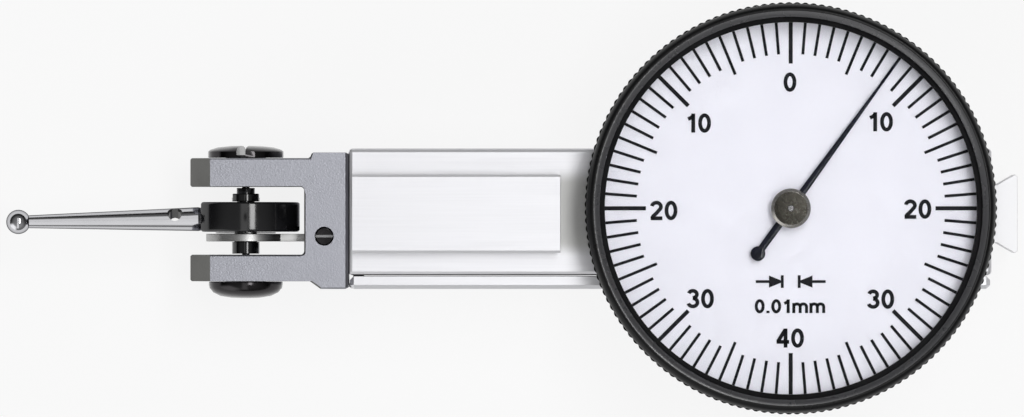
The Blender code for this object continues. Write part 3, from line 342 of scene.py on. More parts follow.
def lines_group():
    """Ground lines: a noise drawn out along one axis of object space, as a wheel or a lathe leaves them."""
    defaults = {"Across": 6000.0, "Along": 120.0, "Depth": 0.1, "Low Roughness": 0.2, "High Roughness": 0.35}
    group, given, out = new_group("ground_lines", defaults, NOISE_OUTPUTS)
    link, new = group.links.new, group.nodes.new
    place, scale = new("ShaderNodeTexCoord"), new("ShaderNodeCombineXYZ")
    stretched, noise = new("ShaderNodeVectorMath"), new("ShaderNodeTexNoise")
    stretched.operation = "MULTIPLY"
    noise.inputs["Scale"].default_value = 1.0
    noise.inputs["Detail"].default_value = 4.0
    for axis, label in (("X", "Along"), ("Y", "Across"), ("Z", "Across")):
        link(given.outputs[label], scale.inputs[axis])
    link(place.outputs["Object"], stretched.inputs[0])
    link(scale.outputs["Vector"], stretched.inputs[1])
    link(stretched.outputs["Vector"], noise.inputs["Vector"])
    put_out_noise(group, given, out, noise, noise, 0.03 * mm, 0.3, 0.7)
    return group


def zone_group():
    """A block of object space with soft sides: the product of one smooth step up and one down for each axis."""
    limits = {f"{axis} {end}": 0.0 for axis in "XYZ" for end in ("Low", "High")}
    soft = {"X Soft": 0.2 * mm, "Y Soft": 1 * mm, "Z Soft": 1 * mm}
    group, given, out = new_group("soft_zone", {**limits, **soft}, {"Mask": "NodeSocketFloat"})
    link, new = group.links.new, group.nodes.new
    place, parts = new("ShaderNodeTexCoord"), new("ShaderNodeSeparateXYZ")
    link(place.outputs["Object"], parts.inputs[0])
    mask = None
    for axis in "XYZ":
        for end, sign in (("Low", "SUBTRACT"), ("High", "ADD")):
            edge, step = given.outputs[f"{axis} {end}"], new("ShaderNodeMapRange")
            step.interpolation_type = "SMOOTHSTEP"
            link(parts.outputs[axis], step.inputs["Value"])
            link(combine(group, sign, edge, given.outputs[f"{axis} Soft"]), step.inputs["From Min"])
            link(edge, step.inputs["From Max"])
            inside = step.outputs["Result"]
            mask = inside if mask is None else combine(group, "MULTIPLY", mask, inside)
    link(mask, out.inputs["Mask"])
    return group


def add_zone(material, group, values, colour, roughness):
    """Give a finish another colour and roughness inside a soft zone."""
    tree = material.node_tree
    shader = tree.nodes["Principled BSDF"]
    zone = tree.nodes.new("ShaderNodeGroup")
    zone.node_tree = group
    for label, value in values.items():
        zone.inputs[label].default_value = value
    for socket, kind, inside in (("Base Color", "RGBA", (*colour, 1)), ("Roughness", "FLOAT", roughness)):
        blend = tree.nodes.new("ShaderNodeMix")
        blend.data_type = kind
        ends = [put for put in blend.inputs if put.enabled and put.name in ("A", "B")]
        tree.links.new(zone.outputs["Mask"], blend.inputs["Factor"])
        tree.links.new(shader.inputs[socket].links[0].from_socket, ends[0])
        ends[1].default_value = inside
        result = next(put for put in blend.outputs if put.enabled)
        tree.links.new(result, shader.inputs[socket])


def new_material(name, colour, sockets):
    """A material, its tree and its Principled shader, with this colour and these values on the shader's sockets."""
    material = bpy.data.materials.new(name)
    material.use_nodes = True
    shader = material.node_tree.nodes["Principled BSDF"]
    for label, value in {"Base Color": (*colour, 1), **sockets}.items():
        shader.inputs[label].default_value = value
    return material, material.node_tree, shader


def finish_material(name, colour, metallic, group, values, shade, sockets):
    """A Principled material whose normal and roughness come from a group, and whose colour may vary with its mask.

    `values` go to the group's inputs in order, and `sockets` to the shader's. `shade` is how far the mask
    darkens the colour.
    """
    material, tree, shader = new_material(name, colour, {"Metallic": metallic, **sockets})
    effect = tree.nodes.new("ShaderNodeGroup")
    effect.node_tree = group
    for given, value in zip(effect.inputs, values):
        given.default_value = value
    tree.links.new(effect.outputs["Normal"], shader.inputs["Normal"])
    tree.links.new(effect.outputs["Roughness"], shader.inputs["Roughness"])
    if shade:
        tint = tree.nodes.new("ShaderNodeMix")
        tint.data_type = "RGBA"
        tint.inputs["A"].default_value = (*colour, 1)
        tint.inputs["B"].default_value = (*(c * (1 - shade) for c in colour), 1)
        tree.links.new(effect.outputs["Mask"], tint.inputs["Factor"])
        tree.links.new(tint.outputs["Result"], shader.inputs["Base Color"])
    return material


def mix_in(tree, kind, share):
    """Mix a second shader of this kind into a material, as far as the output `share` says."""
    other, mix = tree.nodes.new(kind), tree.nodes.new("ShaderNodeMixShader")
    for place, put in enumerate((share, tree.nodes["Principled BSDF"].outputs[0], other.outputs[0])):
        tree.links.new(put, mix.inputs[place])
    tree.links.new(mix.outputs[0], tree.nodes["Material Output"].inputs["Surface"])


def clear_material(name, colour, ior):
    """Clear acrylic that refracts, but lets a shadow ray pass."""
    material, tree, _ = new_material(name, colour, {"Roughness": 0.0, "Transmission Weight": 1.0, "IOR": ior})
    mix_in(tree, "ShaderNodeBsdfTransparent", tree.nodes.new("ShaderNodeLightPath").outputs["Is Shadow Ray"])
    return material


materials = {}

# Surfaces: which group gives them, and its inputs in order. Grain: scale, broad scale, depth, low and high
# roughness. Lines: scale across, scale along, depth, low and high roughness.
SURFACES = {
    "blasted": ("grain", 9000.0, 420.0, 0.25, 0.3, 0.38),
    "ground": ("lines", 7000.0, 150.0, 0.12, 0.35, 0.43),
    "fine": ("grain", 14000.0, 420.0, 0.06, 0.12, 0.2),
    "cast": ("grain", 5500.0, 5500.0, 0.8, 0.2, 0.4),
    "mirror": ("grain", 9000.0, 420.0, 0.01, 0.1, 0.16),
    "gloss": ("grain", 5000.0, 420.0, 0.02, 0.07, 0.13),
    "semi": ("grain", 6000.0, 420.0, 0.06, 0.26, 0.34),
    "matt": ("grain", 8000.0, 420.0, 0.15, 0.45, 0.6),
    "speckled": ("grain", 6000.0, 420.0, 0.45, 0.18, 0.36),
}

# Finishes: colour setting, metallic, surface, how far the mask darkens the colour, and other sockets
FINISHES = {
    "satin_chrome": ("satin", 0.8, "ground", 0.06, {}),
    "housing_chrome": ("satin", 0.8, "ground", 0.06, {}),
    "blasted_chrome": ("blasted", 1.0, "blasted", 0.1, {}),
    # Painted shade: the fork's tip slopes are coloured dark for the shade they show from the way they face the light.
    "fork_tip_shade": ("tip", 1.0, "blasted", 0.2, {}),
    # Bright steel of the small screws, also used as painted highlight on the stop screw's slot floor.
    "bright_steel": ("bright", 1.0, "fine", 0.04, {}),
    "polished_chrome": ("polished", 1.0, "mirror", 0.0, {"Specular Tint": (0.02, 0.02, 0.02, 1)}),
    "turned_steel": ("turned", 1.0, "ground", 0.1, {}),
    "hub_rim": ("rim", 1.0, "fine", 0.0, {}),
    "pivot_screw_steel": ("screw", 1.0, "fine", 0.1, {}),
    # Black steel of the hub and pivot, also used as painted shade inside the stylus's cross hole.
    "black_steel": ("black", 0.0, "gloss", 0.1, {"Specular IOR Level": 0.7}),
    "knurled_chrome": ("bezel", 0.0, "semi", 0.15, {"Specular IOR Level": 0.18}),
    "knurl_teeth": ("bezel", 0.0, "semi", 0.15, {"Specular IOR Level": 0.05}),
    # Partly painted highlight: the slope's base colour is lighter than the bezel's for the band of light on it; its
    # higher specular gives real reflection.
    "bezel_slope_highlight": ("slope", 0.0, "speckled", 0.1, {"Specular IOR Level": 0.8}),
    "movement_brass": ("brass", 1.0, "ground", 0.1, {}),
    "ruby_jewel": ("ruby", 0.0, "gloss", 0.0, {"Transmission Weight": 0.6}),
    "dial_white": ("dial", 0.0, "matt", 0.03, {}),
    "pointer_black": ("pointer", 0.0, "gloss", 0.0, {"Specular IOR Level": 0.15}),
    "bronze_hub": ("hub", 0.85, "cast", 0.95, {}),
    # Gasket rubber, also used as painted shade on the cover's inner face in its gap to the housing.
    "black_rubber": ("rubber", 0.0, "matt", 0.0, {"Specular IOR Level": 0.1}),
    "dial_ink": ("ink", 0.0, "matt", 0.0, {"Specular IOR Level": 0.1}),
}
ACRYLIC_IOR = 1.49
DOVETAIL_HEIGHT, REAR_DOVETAIL_LENGTH = 1.6 * mm, 1.9 * mm


def make_materials(colours):
    """All the object's materials, from the colours in the settings."""
    groups = {"grain": grain_group(), "lines": lines_group()}
    for name, (colour, metallic, surface, shade, sockets) in FINISHES.items():
        group, *values = SURFACES[surface]
        materials[name] = finish_material(name, getattr(colours, colour), metallic, groups[group], values, shade,
                                          sockets)
    materials["crystal"] = clear_material("crystal", colours.crystal, ACRYLIC_IOR)
    zone, far, high = zone_group(), 1.0, box("body")[1]
    end, face = front_dovetail_end(), high[2] - DOVETAIL_HEIGHT
    # Painted shade: the housing between the front dovetail's end and the bezel is coloured darker, for the bezel's
    # shade on it. Its roughness is raised there too.
    painted_shade_beside = {"X Low": end, "X High": end + 8 * mm, "X Soft": 0.1 * mm,
              "Y Low": -2.6 * mm, "Y High": 1.9 * mm, "Y Soft": 1.4 * mm,
              "Z Low": face - 0.6 * mm, "Z High": face + 0.4 * mm}
    rear = {"X Low": high[0] - REAR_DOVETAIL_LENGTH, "X High": far, "Y Low": -far, "Y High": far,
            "Z Low": -far, "Z High": far}
    # The first zone is painted shade beside the dovetail's end; the second is the rear dovetail's tone.
    add_zone(materials["housing_chrome"], zone, painted_shade_beside, colours.painted_shade_beside, 0.55)
    add_zone(materials["housing_chrome"], zone, rear, colours.rear, 0.45)


# ---- settings


def colour_setting(name, description, value):
    """A colour that a user may change."""
    return FloatVectorProperty(name=name, description=description, subtype="COLOR", size=3, min=0, max=1,
                               default=value)


def length_setting(name, description, value):
    """A length that a user may change, in metres."""
    return FloatProperty(name=name, description=description, subtype="DISTANCE", unit="LENGTH", min=0,
                         precision=5, default=value)


class IndicatorColours(PropertyGroup):
    """Colours of the indicator's finishes."""

    satin: colour_setting("Satin chrome", "Housing, dovetails and cover", (0.745, 0.745, 0.77))
    # Painted shade: colour of the housing where the bezel shades it, beside the dovetail's end.
    painted_shade_beside: colour_setting("Beside the dovetail", "Housing between dovetail and dial", (0.58, 0.58, 0.57))
    rear: colour_setting("Rear dovetail", "Dovetail at the housing's right end", (0.73, 0.73, 0.745))
    blasted: colour_setting("Blasted chrome", "Fork", (0.33, 0.335, 0.37))
    # Painted shade: dark colour of the fork's tip slopes, for the way they face away from the light.
    tip: colour_setting("Fork tips", "Slopes at the ends of the fork's arms", (0.15, 0.15, 0.143))
    # Also the painted highlight on the floor of the stop screw's slot.
    bright: colour_setting("Bright steel", "Small screws", (0.42, 0.42, 0.43))
    polished: colour_setting("Polished chrome", "Stylus and ball", (0.60, 0.60, 0.62))
    turned: colour_setting("Turned steel", "Lever", (0.46, 0.46, 0.455))
    rim: colour_setting("Cap's rim", "Slope round the cap over the pointer's middle", (0.45, 0.435, 0.40))
    screw: colour_setting("Screw steel", "Bearing screws", (0.045, 0.043, 0.045))
    # Also the painted shade inside the stylus's cross hole.
    black: colour_setting("Black steel", "Hub and pivot", (0.008, 0.008, 0.009))
    bezel: colour_setting("Bezel", "Knurled bezel", (0.008, 0.008, 0.0085))
    # Partly painted highlight: the slope is coloured lighter than the bezel for the light it catches.
    slope: colour_setting("Bezel slope", "Slope inside the bezel's crown", (0.075, 0.075, 0.08))
    brass: colour_setting("Brass", "Gears and bridges", (0.72, 0.50, 0.20))
    ruby: colour_setting("Ruby", "Jewel bearings", (0.55, 0.02, 0.06))
    dial: colour_setting("Dial", "Dial plate", (0.85, 0.85, 0.93))
    ink: colour_setting("Ink", "Dial printing", (0.006, 0.006, 0.009))
    pointer: colour_setting("Pointer", "Pointer", (0.006, 0.007, 0.014))
    hub: colour_setting("Pointer hub", "Cap over the pointer's middle", (0.060, 0.056, 0.045))
    # Also the painted shade in the gap between the cover and the housing.
    rubber: colour_setting("Gasket", "Ring round the crystal", (0.005, 0.005, 0.006))
    crystal: colour_setting("Crystal", "Clear window", (1.0, 1.0, 1.0))


class IndicatorDial(PropertyGroup):
    """Count and sizes of the printing on the dial."""

    divisions: IntProperty(name="Divisions", description="Divisions round the dial", default=80, min=8, max=200)
    tick_inner: length_setting("Fifth line start", "Radius where every fifth line starts", 11.38 * mm)
    tick_short: length_setting("Line start", "Radius where the other lines start", 12.13 * mm)
    tick_width: length_setting("Line width", "Width of a short line", 0.23 * mm)
    tick_bold: length_setting("Tenth line width", "Width of every tenth line", 0.32 * mm)
    numeral: length_setting("Numeral height", "Height of the numbers", 1.5 * mm)
    small_text: length_setting("Unit height", "Height of the unit marking", 1.07 * mm)


class IndicatorStage(PropertyGroup):
    """The floor, lamp, sky and camera."""

    key: FloatProperty(name="Key lamp", description="Power of the key lamp in watts", default=5.75, min=0)
    sky: FloatProperty(name="Sky", description="Strength of the light overhead", default=0.2, min=0)
    horizon: FloatProperty(name="Horizon", description="Strength of the light from the sides", default=0.2, min=0)
    strip: FloatProperty(name="Strip", description="Strength of the strip overhead, along the dial's upright",
                         default=0.72, min=0)
    edge_low: FloatProperty(name="Dim below", description="Height of a direction below which the sky is dim",
                            default=0.25, min=0, max=1)
    edge_high: FloatProperty(name="Bright above", description="Height of a direction above which it is bright",
                             default=0.85, min=0, max=1)
    floor: colour_setting("Floor", "Floor under the indicator", (0.93, 0.93, 0.93))
    distance: length_setting("Camera distance", "From the camera to the dial's plane", 1.2)


# ---- pieces


def box(node):
    """Lowest and highest corner of a solid, as arrays."""
    low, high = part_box(node)
    return np.array(low), np.array(high)


def knurled_ring(name, profile, knurled, teeth, depth, per_tooth=8):
    """A closed ring profile carried round Z, whose marked points follow the teeth.

    A marked point at angle a has the radius r - depth * (0.5 - 0.5 cos(teeth a)) ** 1.5, so the teeth are round.
    """
    profile, knurled = np.asarray(profile, float), np.asarray(knurled, float)
    angle = np.linspace(0, 2 * math.pi, teeth * per_tooth, endpoint=False)[:, None]
    valley = depth * (0.5 - 0.5 * np.cos(teeth * angle)) ** 1.5
    r = profile[None, :, 0] - valley * knurled[None, :]
    points = np.stack([r * np.cos(angle), r * np.sin(angle), profile[None, :, 1] + 0 * angle], axis=-1)
    faces = grid_faces(len(angle), len(profile), round_rows=True, round_columns=True)
    return smooth(mesh_object(name, points.reshape(-1, 3), faces), 60)


def make_bezel():
    """The bezel, and for each of its faces which finish it has: 0 the ring's, 1 the slope's, 2 the teeth's.

    The profile, in millimetres, runs from the lowest inner edge round the outside, over the crown and down to the
    dial. The crown is a quarter of an ellipse, (b + w cos a, h + t sin a), and the slope inside it has two facets.
    """
    bottom, top = box("bezel")[0][2] / mm, box("bezel")[1][2] / mm
    radius, bore, seat = 16.2, 15.0, bottom + 3.9
    base, knurl_low, knurl_high = radius - 0.13, bottom + 0.16, bottom + 3.86
    wide, tall = 0.5, 0.8
    turn = np.linspace(0, math.pi / 2, 9)[1:]
    arch = np.stack([base - wide + wide * np.cos(turn), top - tall + tall * np.sin(turn)], axis=-1)
    outer = [(bore, bottom), (15.86, bottom), (base, bottom + 0.08)]
    knurl = [(base, knurl_low), (radius - 0.08, knurl_low + 0.02), (radius, knurl_low + 0.12),
             (radius, knurl_high - 0.12), (radius - 0.08, knurl_high - 0.02), (base, knurl_high)]
    inner = [(15.5, top - 0.01), (15.3, top - 0.05), (15.04, top - 0.3), (bore, top - 0.36), (15.1, top - 0.5),
             (15.1, seat), (14.62, seat), (14.62, bottom + 2.5), (bore, bottom + 2.5)]
    profile = np.concatenate([outer, knurl, [(base, top - tall)], arch, inner]) * mm
    marks = [0] * len(outer) + [0, 1, 1, 1, 1, 0] + [0] * (1 + len(arch) + len(inner))
    ring = knurled_ring("knurled_bezel", profile, marks, teeth=155, depth=0.11 * mm)
    slope = len(profile) - len(inner)
    column = np.arange(len(ring.data.polygons)) % len(profile)
    is_slope = (column == slope) | (column == slope + 1)
    is_knurl = (column >= len(outer)) & (column <= len(outer) + len(knurl) + 2)
    return ring, (is_slope + 2 * is_knurl).astype(np.int32)


TICK_END = 14.75 * mm  # radius


def make_tick_lines(dial, level, height):
    """Every division line as a thin bar: corners at radius r and half width w, turned by the line's angle."""
    count = dial.divisions
    index = np.arange(count)
    tenth, fifth = index % 10 == 0, index % 5 == 0
    start = np.where(fifth, dial.tick_inner, dial.tick_short)
    width = np.where(tenth, dial.tick_bold, dial.tick_width) / 2
    end = np.full(count, TICK_END)
    r = np.stack([start, end, end, start], axis=1)
    w = np.stack([-width, -width, width, width], axis=1)
    angle = (2 * math.pi * index / count)[:, None]
    flat = np.stack([w * np.cos(angle) + r * np.sin(angle), r * np.cos(angle) - w * np.sin(angle)], axis=-1)
    low = np.concatenate([flat, np.full((count, 4, 1), level)], axis=-1)
    high = low + np.array([0, 0, height])
    points = np.concatenate([low, high], axis=1).reshape(-1, 3)
    cell = np.array([[0, 3, 2, 1], [4, 5, 6, 7], [0, 1, 5, 4], [1, 2, 6, 5], [2, 3, 7, 6], [3, 0, 4, 7]])
    faces = (cell[None] + 8 * index[:, None, None]).reshape(-1, 4)
    return points, faces


def flat_shape(outline, level, height):
    """A closed outline as a thin plate: its points at two heights, with a cap on each and a wall between."""
    outline = np.asarray(outline, float)
    count = len(outline)
    low = np.concatenate([outline, np.full((count, 1), level)], axis=1)
    points = np.concatenate([low, low + np.array([0, 0, height])])
    step = np.arange(count)
    ahead = (step + 1) % count
    walls = np.stack([step, ahead, ahead + count, step + count], axis=1).tolist()
    return points, [list(range(count))[::-1], list(range(count, 2 * count))] + walls


def arc_line(x, y, wide, high, start, end, count):
    """Points of an oval arc from one angle to another, in degrees: (x + wide cos a, y + high sin a)."""
    turn = np.radians(np.linspace(start, end, count))
    return np.stack([x + wide * np.cos(turn), y + high * np.sin(turn)], axis=-1)


def line(*points):
    """Points of a broken line."""
    return np.asarray(points, float)


# Centre lines of the strokes of each sign, on a cell one unit high, and the sign's width
SIGNS = {
    "0": (0.62, [arc_line(0.31, 0.5, 0.215, 0.41, 0, 360, 40)]),
    "1": (0.50, [line((0.34, 0.0), (0.34, 1.0)), line((0.34, 0.90), (0.24, 0.78), (0.09, 0.71))]),
    "2": (0.62, [np.concatenate([arc_line(0.305, 0.695, 0.215, 0.215, 172, -30, 16),
                                 line((0.30, 0.35), (0.14, 0.19), (0.10, 0.09))]),
                 line((0.03, 0.09), (0.59, 0.09))]),
    "3": (0.62, [arc_line(0.30, 0.725, 0.195, 0.185, 165, -90, 16), arc_line(0.30, 0.305, 0.22, 0.215, 90, -165, 18)]),
    "4": (0.64, [line((0.43, 0.93), (0.09, 0.33)), line((0.02, 0.30), (0.62, 0.30)), line((0.45, 0.0), (0.45, 1.0))]),
    "m": (0.98, [line((0.09, 0.0), (0.09, 0.74)), line((0.49, 0.0), (0.49, 0.5)), line((0.89, 0.0), (0.89, 0.5)),
                 arc_line(0.29, 0.46, 0.2, 0.21, 180, 0, 10), arc_line(0.69, 0.46, 0.2, 0.21, 180, 0, 10)]),
    ".": (0.22, [line((0.11, 0.0), (0.11, 0.17))]),
}


def stroke(points, half, level, height):
    """A flat bar along a centre line: at each point, half its width to both sides along the line's normal."""
    ahead = np.gradient(points, axis=0)
    ahead /= np.linalg.norm(ahead, axis=1, keepdims=True)
    side = np.stack([-ahead[:, 1], ahead[:, 0]], axis=-1) * half
    corners = ((side, level), (side, level + height), (-side, level + height), (-side, level))
    rings = np.stack([np.insert(points + shift, 2, tall, axis=1) for shift, tall in corners], axis=1)
    faces = grid_faces(len(points), 4, round_columns=True)
    last = 4 * len(points) - 1
    ends = np.array([[0, 1, 2, 3], [last, last - 1, last - 2, last - 3]])
    return rings.reshape(-1, 3), np.concatenate([faces, ends])


def lettering(name, text, size, middle, level, height, weight=0.1, gap=0.07, squeeze=1.1):
    """A row of upright signs, each a few strokes, centred on a point of the dial."""
    advance = np.cumsum([0] + [SIGNS[sign][0] + gap for sign in text])
    start = -(advance[-1] - gap) / 2
    points, faces, count = [], [], 0
    for sign, shift in zip(text, advance):
        for lines in SIGNS[sign][1]:
            place = (lines + np.array([start + shift, -0.5])) * size * np.array([squeeze, 1]) + np.array(middle)
            some, cells = stroke(place, weight * size, level, height)
            points.append(some)
            faces.append(cells + count)
            count += len(some)
    return mesh_object(name, np.concatenate(points), np.concatenate(faces))


def pointer_blade(name, reach, tail, level, thickness, degrees):
    """The pointer: a strip along its own line, whose half width is the widest of blade, eye and tail disc.

    Blade: a straight taper from root to tip. Eye and disc: sqrt(R^2 - (s - s0)^2). The section is a flat
    bottom under a low curved top.
    """
    disc_radius, eye_radius, least = 0.58 * mm, 0.62 * mm, 0.002 * mm
    at_tail, at_root, at_tip = 0.29 * mm, 0.31 * mm, 0.065 * mm
    ends = np.array([-tail - disc_radius, reach])
    s = np.unique(np.concatenate([np.linspace(*ends, 120), np.linspace(ends[0], 0.8 * mm, 160)]))
    shaft = np.interp(s, [-tail, 0, reach], [at_tail, at_root, at_tip], left=0)
    disc = np.sqrt(np.clip(disc_radius ** 2 - (s + tail) ** 2, 0, None))
    eye = np.sqrt(np.clip(eye_radius ** 2 - s ** 2, 0, None))
    half = np.maximum(np.maximum(shaft, disc), np.maximum(eye, least))
    across = np.array([-1, -1, -0.6, 0, 0.6, 1, 1])
    up = np.array([0, 0.55, 0.9, 1, 0.9, 0.55, 0])
    x = half[:, None] * across[None, :]
    z = level + thickness * up[None, :] + 0 * x
    turn = math.radians(degrees)
    points = np.stack([x * math.cos(turn) + s[:, None] * math.sin(turn),
                       s[:, None] * math.cos(turn) - x * math.sin(turn), z], axis=-1)
    count, section = len(s), len(across)
    faces = grid_faces(count, section, round_columns=True).tolist()
    faces += [list(range(section)), list(range((count - 1) * section, count * section))[::-1]]
    return smooth(mesh_object(name, points.reshape(-1, 3), faces, merge=False), 40)


# ---- operators


class INDICATOR_OT_finishes(Operator):
    """Give every solid its procedural material"""

    bl_idname = "indicator.finishes"
    bl_label = "Finishes"

    def execute(self, context):
        make_materials(context.scene.indicator_colours)
        for node, obj in frame["nodes"].items():
            for place in obj.material_slots:
                name = place.material.name.split(".")[0]
                if name not in materials:
                    raise RuntimeError(f"{node} has the material {name}, which has no finish")
                place.material = materials[name]
        return {"FINISHED"}


class INDICATOR_OT_housing(Operator):
    """Round the edges of the housing, its cover, the fork and their screws"""

    bl_idname = "indicator.housing"
    bl_label = "Housing"

    def execute(self, context):
        settle(finished("dial_housing", "dial_case", 0.05 * mm), "satin_chrome", "dial_case")
        cover = finished("cover_plate", "side_cover", 0.05 * mm, adjust=square_cover_edge)
        settle(cover, "satin_chrome", "side_cover")
        # Painted shade: the cover's inner face beside the housing gets the black gasket finish, so the gap between
        # cover and housing shows dark.
        finish_faces(cover, "black_rubber", lambda middles, normals: normals[:, 1] > 0.9)
        seam = box("fork")[1][0] + np.array([-0.15, 0.45]) * mm
        housing = finished("housing", "body", 0.12 * mm, seam=seam)
        settle(housing, "housing_chrome", "body")
        fork = finished("pivot_fork", "fork", 0.06 * mm, seam=seam, adjust=close_fork_seam)
        settle(fork, "blasted_chrome", "fork")
        # Painted shade: the slopes at the ends of the fork's arms get a dark colour.
        finish_faces(fork, "fork_tip_shade", lambda middles, normals: (normals[:, 0] < -0.4) & (normals[:, 2] > 0.4))
        for node in sorted(frame["nodes"]):
            if node.startswith(("side_cover_screw", "fork_screw", "travel_stop")):
                dark = node.startswith("travel")
                screw = finished(f"{node}_finished", node, 0.02 * mm)
                settle(screw, "pivot_screw_steel" if dark else "bright_steel",
                       node)
                if dark:
                    # Painted highlight: the floor of the stop screw's slot gets bright steel, for the glints of light
                    # in the slot.
                    slot_top = box(node)[1][2] - 0.1 * mm
                    finish_faces(screw, "bright_steel", lambda middles, normals:
                                 (normals[:, 2] > 0.9) & (middles[:, 2] < slot_top))
        return {"FINISHED"}


class INDICATOR_OT_pivot(Operator):
    """Round the edges of the bearing screws, the pivot and the lever"""

    bl_idname = "indicator.pivot"
    bl_label = "Stylus pivot"

    def execute(self, context):
        for node, width, finish in (
                ("upper_pivot_screw", 0.06 * mm, "pivot_screw_steel"),
                ("lower_pivot_screw", 0.06 * mm, "pivot_screw_steel"),
                ("fulcrum_arbor", 0.03 * mm, "black_steel"),
                ("friction_washer", 0.0, "black_steel"),
                ("clutch_nut", 0.03 * mm, "black_steel"),
                ("lever", 0.04 * mm, "turned_steel")):
            settle(finished(f"{node}_finished", node, width), finish, node)
        return {"FINISHED"}


class INDICATOR_OT_stylus(Operator):
    """Make the swivelling hub, the tapered stylus and its ball"""

    bl_idname = "indicator.stylus"
    bl_label = "Stylus"

    def execute(self, context):
        drum = flat_sided_drum("swivel_hub", "stylus_hub", radius=4.27 * mm, flat=3.5 * mm, edge=0.2 * mm,
                               bore=0.7 * mm)
        settle(drum, "black_steel", "stylus_hub")
        shank = settle(finished("tapered_stylus", "stylus", 0.0), "polished_chrome", "stylus")
        hub_low, hub_high = box("stylus_hub")
        hole_at = (hub_high[0] - 9.87 * mm, -0.883 * mm, (hub_low[2] + hub_high[2]) / 2)
        # Painted shade: the cross hole's wall gets black steel, for the dark inside of the hole.
        paint_hole_shade(shank, hole_at, degrees=35, radius=0.6 * mm, finish="black_steel")
        low, high = box("stylus_ball")
        radius, turn = (high[1] - low[1]) / 2, np.linspace(-math.pi / 2, math.pi / 2, 33)
        half_circle = np.stack([radius * np.cos(turn), radius * np.sin(turn)], axis=-1)
        ball = turned("measuring_ball", half_circle, (low + high) / 2, steps=64)
        settle(ball, "polished_chrome", "stylus_ball")
        return {"FINISHED"}


class INDICATOR_OT_bezel(Operator):
    """Make the knurled bezel, the crystal and its gasket"""

    bl_idname = "indicator.bezel"
    bl_label = "Bezel"

    def execute(self, context):
        ring, face_finish = make_bezel()
        settle(ring, "knurled_chrome", "bezel")
        # Partly painted highlight: the slope's finish is lighter than the ring's.
        ring.data.materials.append(materials["bezel_slope_highlight"])
        ring.data.materials.append(materials["knurl_teeth"])
        ring.data.polygons.foreach_set("material_index", face_finish)
        low, high = box("crystal")
        radius = 14.86 * mm
        window = eased([(0, low[2]), (radius, low[2]), (radius, high[2]), (0, high[2])], 0.12 * mm)
        settle(turned("window", window, steps=160), "crystal", "crystal")
        reach, seat, outer = 14.66 * mm, 14.9 * mm, 15.08 * mm
        bottom, over, lip = box("crystal_gasket")[0][2], high[2] + 0.004 * mm, high[2] + 0.04 * mm
        section = [(seat, bottom), (outer, bottom), (outer, lip), (reach, lip), (reach, over), (seat, over)]
        settle(turned("window_gasket", section, steps=160, closed=True), "black_rubber",
               "crystal_gasket")
        return {"FINISHED"}


# Middles of the numbers, then the arrow's outline about its own middle line, in millimetres
NUMERALS = (("0", (-0.06, 9.92)), ("10", (7.06, 6.80)), ("20", (9.98, -0.06)), ("30", (7.06, -7.14)),
            ("40", (-0.05, -10.20)), ("30", (-7.11, -7.10)), ("20", (-9.98, -0.17)), ("10", (-7.24, 6.70)))
ARROW = ((-0.55, -0.5), (-0.55, 0.5), (-0.78, 0.5), (-0.78, 0.1), (-1.71, 0.48), (-1.71, 0.11), (-2.75, 0.11),
         (-2.75, -0.11), (-1.71, -0.11), (-1.71, -0.48), (-0.78, -0.1), (-0.78, -0.5))
ARROW_LINE, UNIT_MIDDLE = -5.76, (-0.06, -7.70)


class INDICATOR_OT_dial(Operator):
    """Print the division lines, the numbers, the arrows and the unit on the dial"""

    bl_idname = "indicator.dial"
    bl_label = "Dial printing"

    def execute(self, context):
        dial = context.scene.indicator_dial
        level, height = box("dial_plate")[1][2] + 0.005 * mm, 0.04 * mm
        points, faces = make_tick_lines(dial, level, height)
        pieces = [mesh_object("division_lines", points, faces)]
        for index, (text, middle) in enumerate(NUMERALS):
            pieces.append(lettering(f"number_{index}", text, dial.numeral, np.array(middle) * mm, level, height))
        pieces.append(lettering("unit_marking", "0.01mm", dial.small_text, np.array(UNIT_MIDDLE) * mm, level, height,
                                weight=0.112, gap=0.1, squeeze=1.17))
        for side, name in ((1, "arrow_right"), (-1, "arrow_left")):
            outline = (np.array(ARROW) * np.array([side, 1]) + np.array([0, ARROW_LINE])) * mm
            pieces.append(mesh_object(name, *flat_shape(outline, level, height), merge=False))
        for obj in pieces:
            settle(obj, "dial_ink", "dial_plate", instead=False)
        return {"FINISHED"}


class INDICATOR_OT_pointer(Operator):
    """Make the pointer with its tail disc, and the cap over its middle"""

    bl_idname = "indicator.pointer"
    bl_label = "Pointer"

    def execute(self, context):
        low, high = box("pointer")
        blade = pointer_blade("tapered_pointer", reach=14.15 * mm, tail=4.4 * mm, level=low[2],
                              thickness=high[2] - low[2], degrees=36)
        settle(blade, "pointer_black", "pointer")
        bottom, top = box("pointer_hub")[0][2], box("pointer_hub")[1][2]
        hole, rim, face, edge = 0.26 * mm, 1.56 * mm, 1.32 * mm, 1.31 * mm
        cap = eased([(hole, bottom), (rim, bottom), (rim, top - 0.16 * mm), (face, top), (hole, top)], 0.03 * mm)
        under, over = top - 0.05 * mm, top + 0.01 * mm
        disc = eased([(hole, under), (edge, under), (edge, over), (hole, over)], 0.008 * mm)
        for name, section, finish in (("pointer_cap", cap, "hub_rim"), ("cap_disc", disc, "bronze_hub")):
            settle(turned(name, section, closed=True), finish, "pointer_hub")
        return {"FINISHED"}


# The stage, in metres: the floor is a square, the lamp a rectangle, and the camera sees a width of the dial's plane
FLOOR_HALF, FLOOR_LEVEL, FLOOR_GLOW = 1.5, -0.0002, 0.85
LAMP_SIZE, LAMP_PLACE, LAMP_TARGET = (0.24, 1.0), (0.28, 0.20, 1.2), (-0.02, 0, 0)
VIEW_WIDTH, VIEW_MIDDLE, VIEW_PLANE = 0.08063, (-0.021913, -0.000016), 0.0122
SENSOR = 36  # millimetres


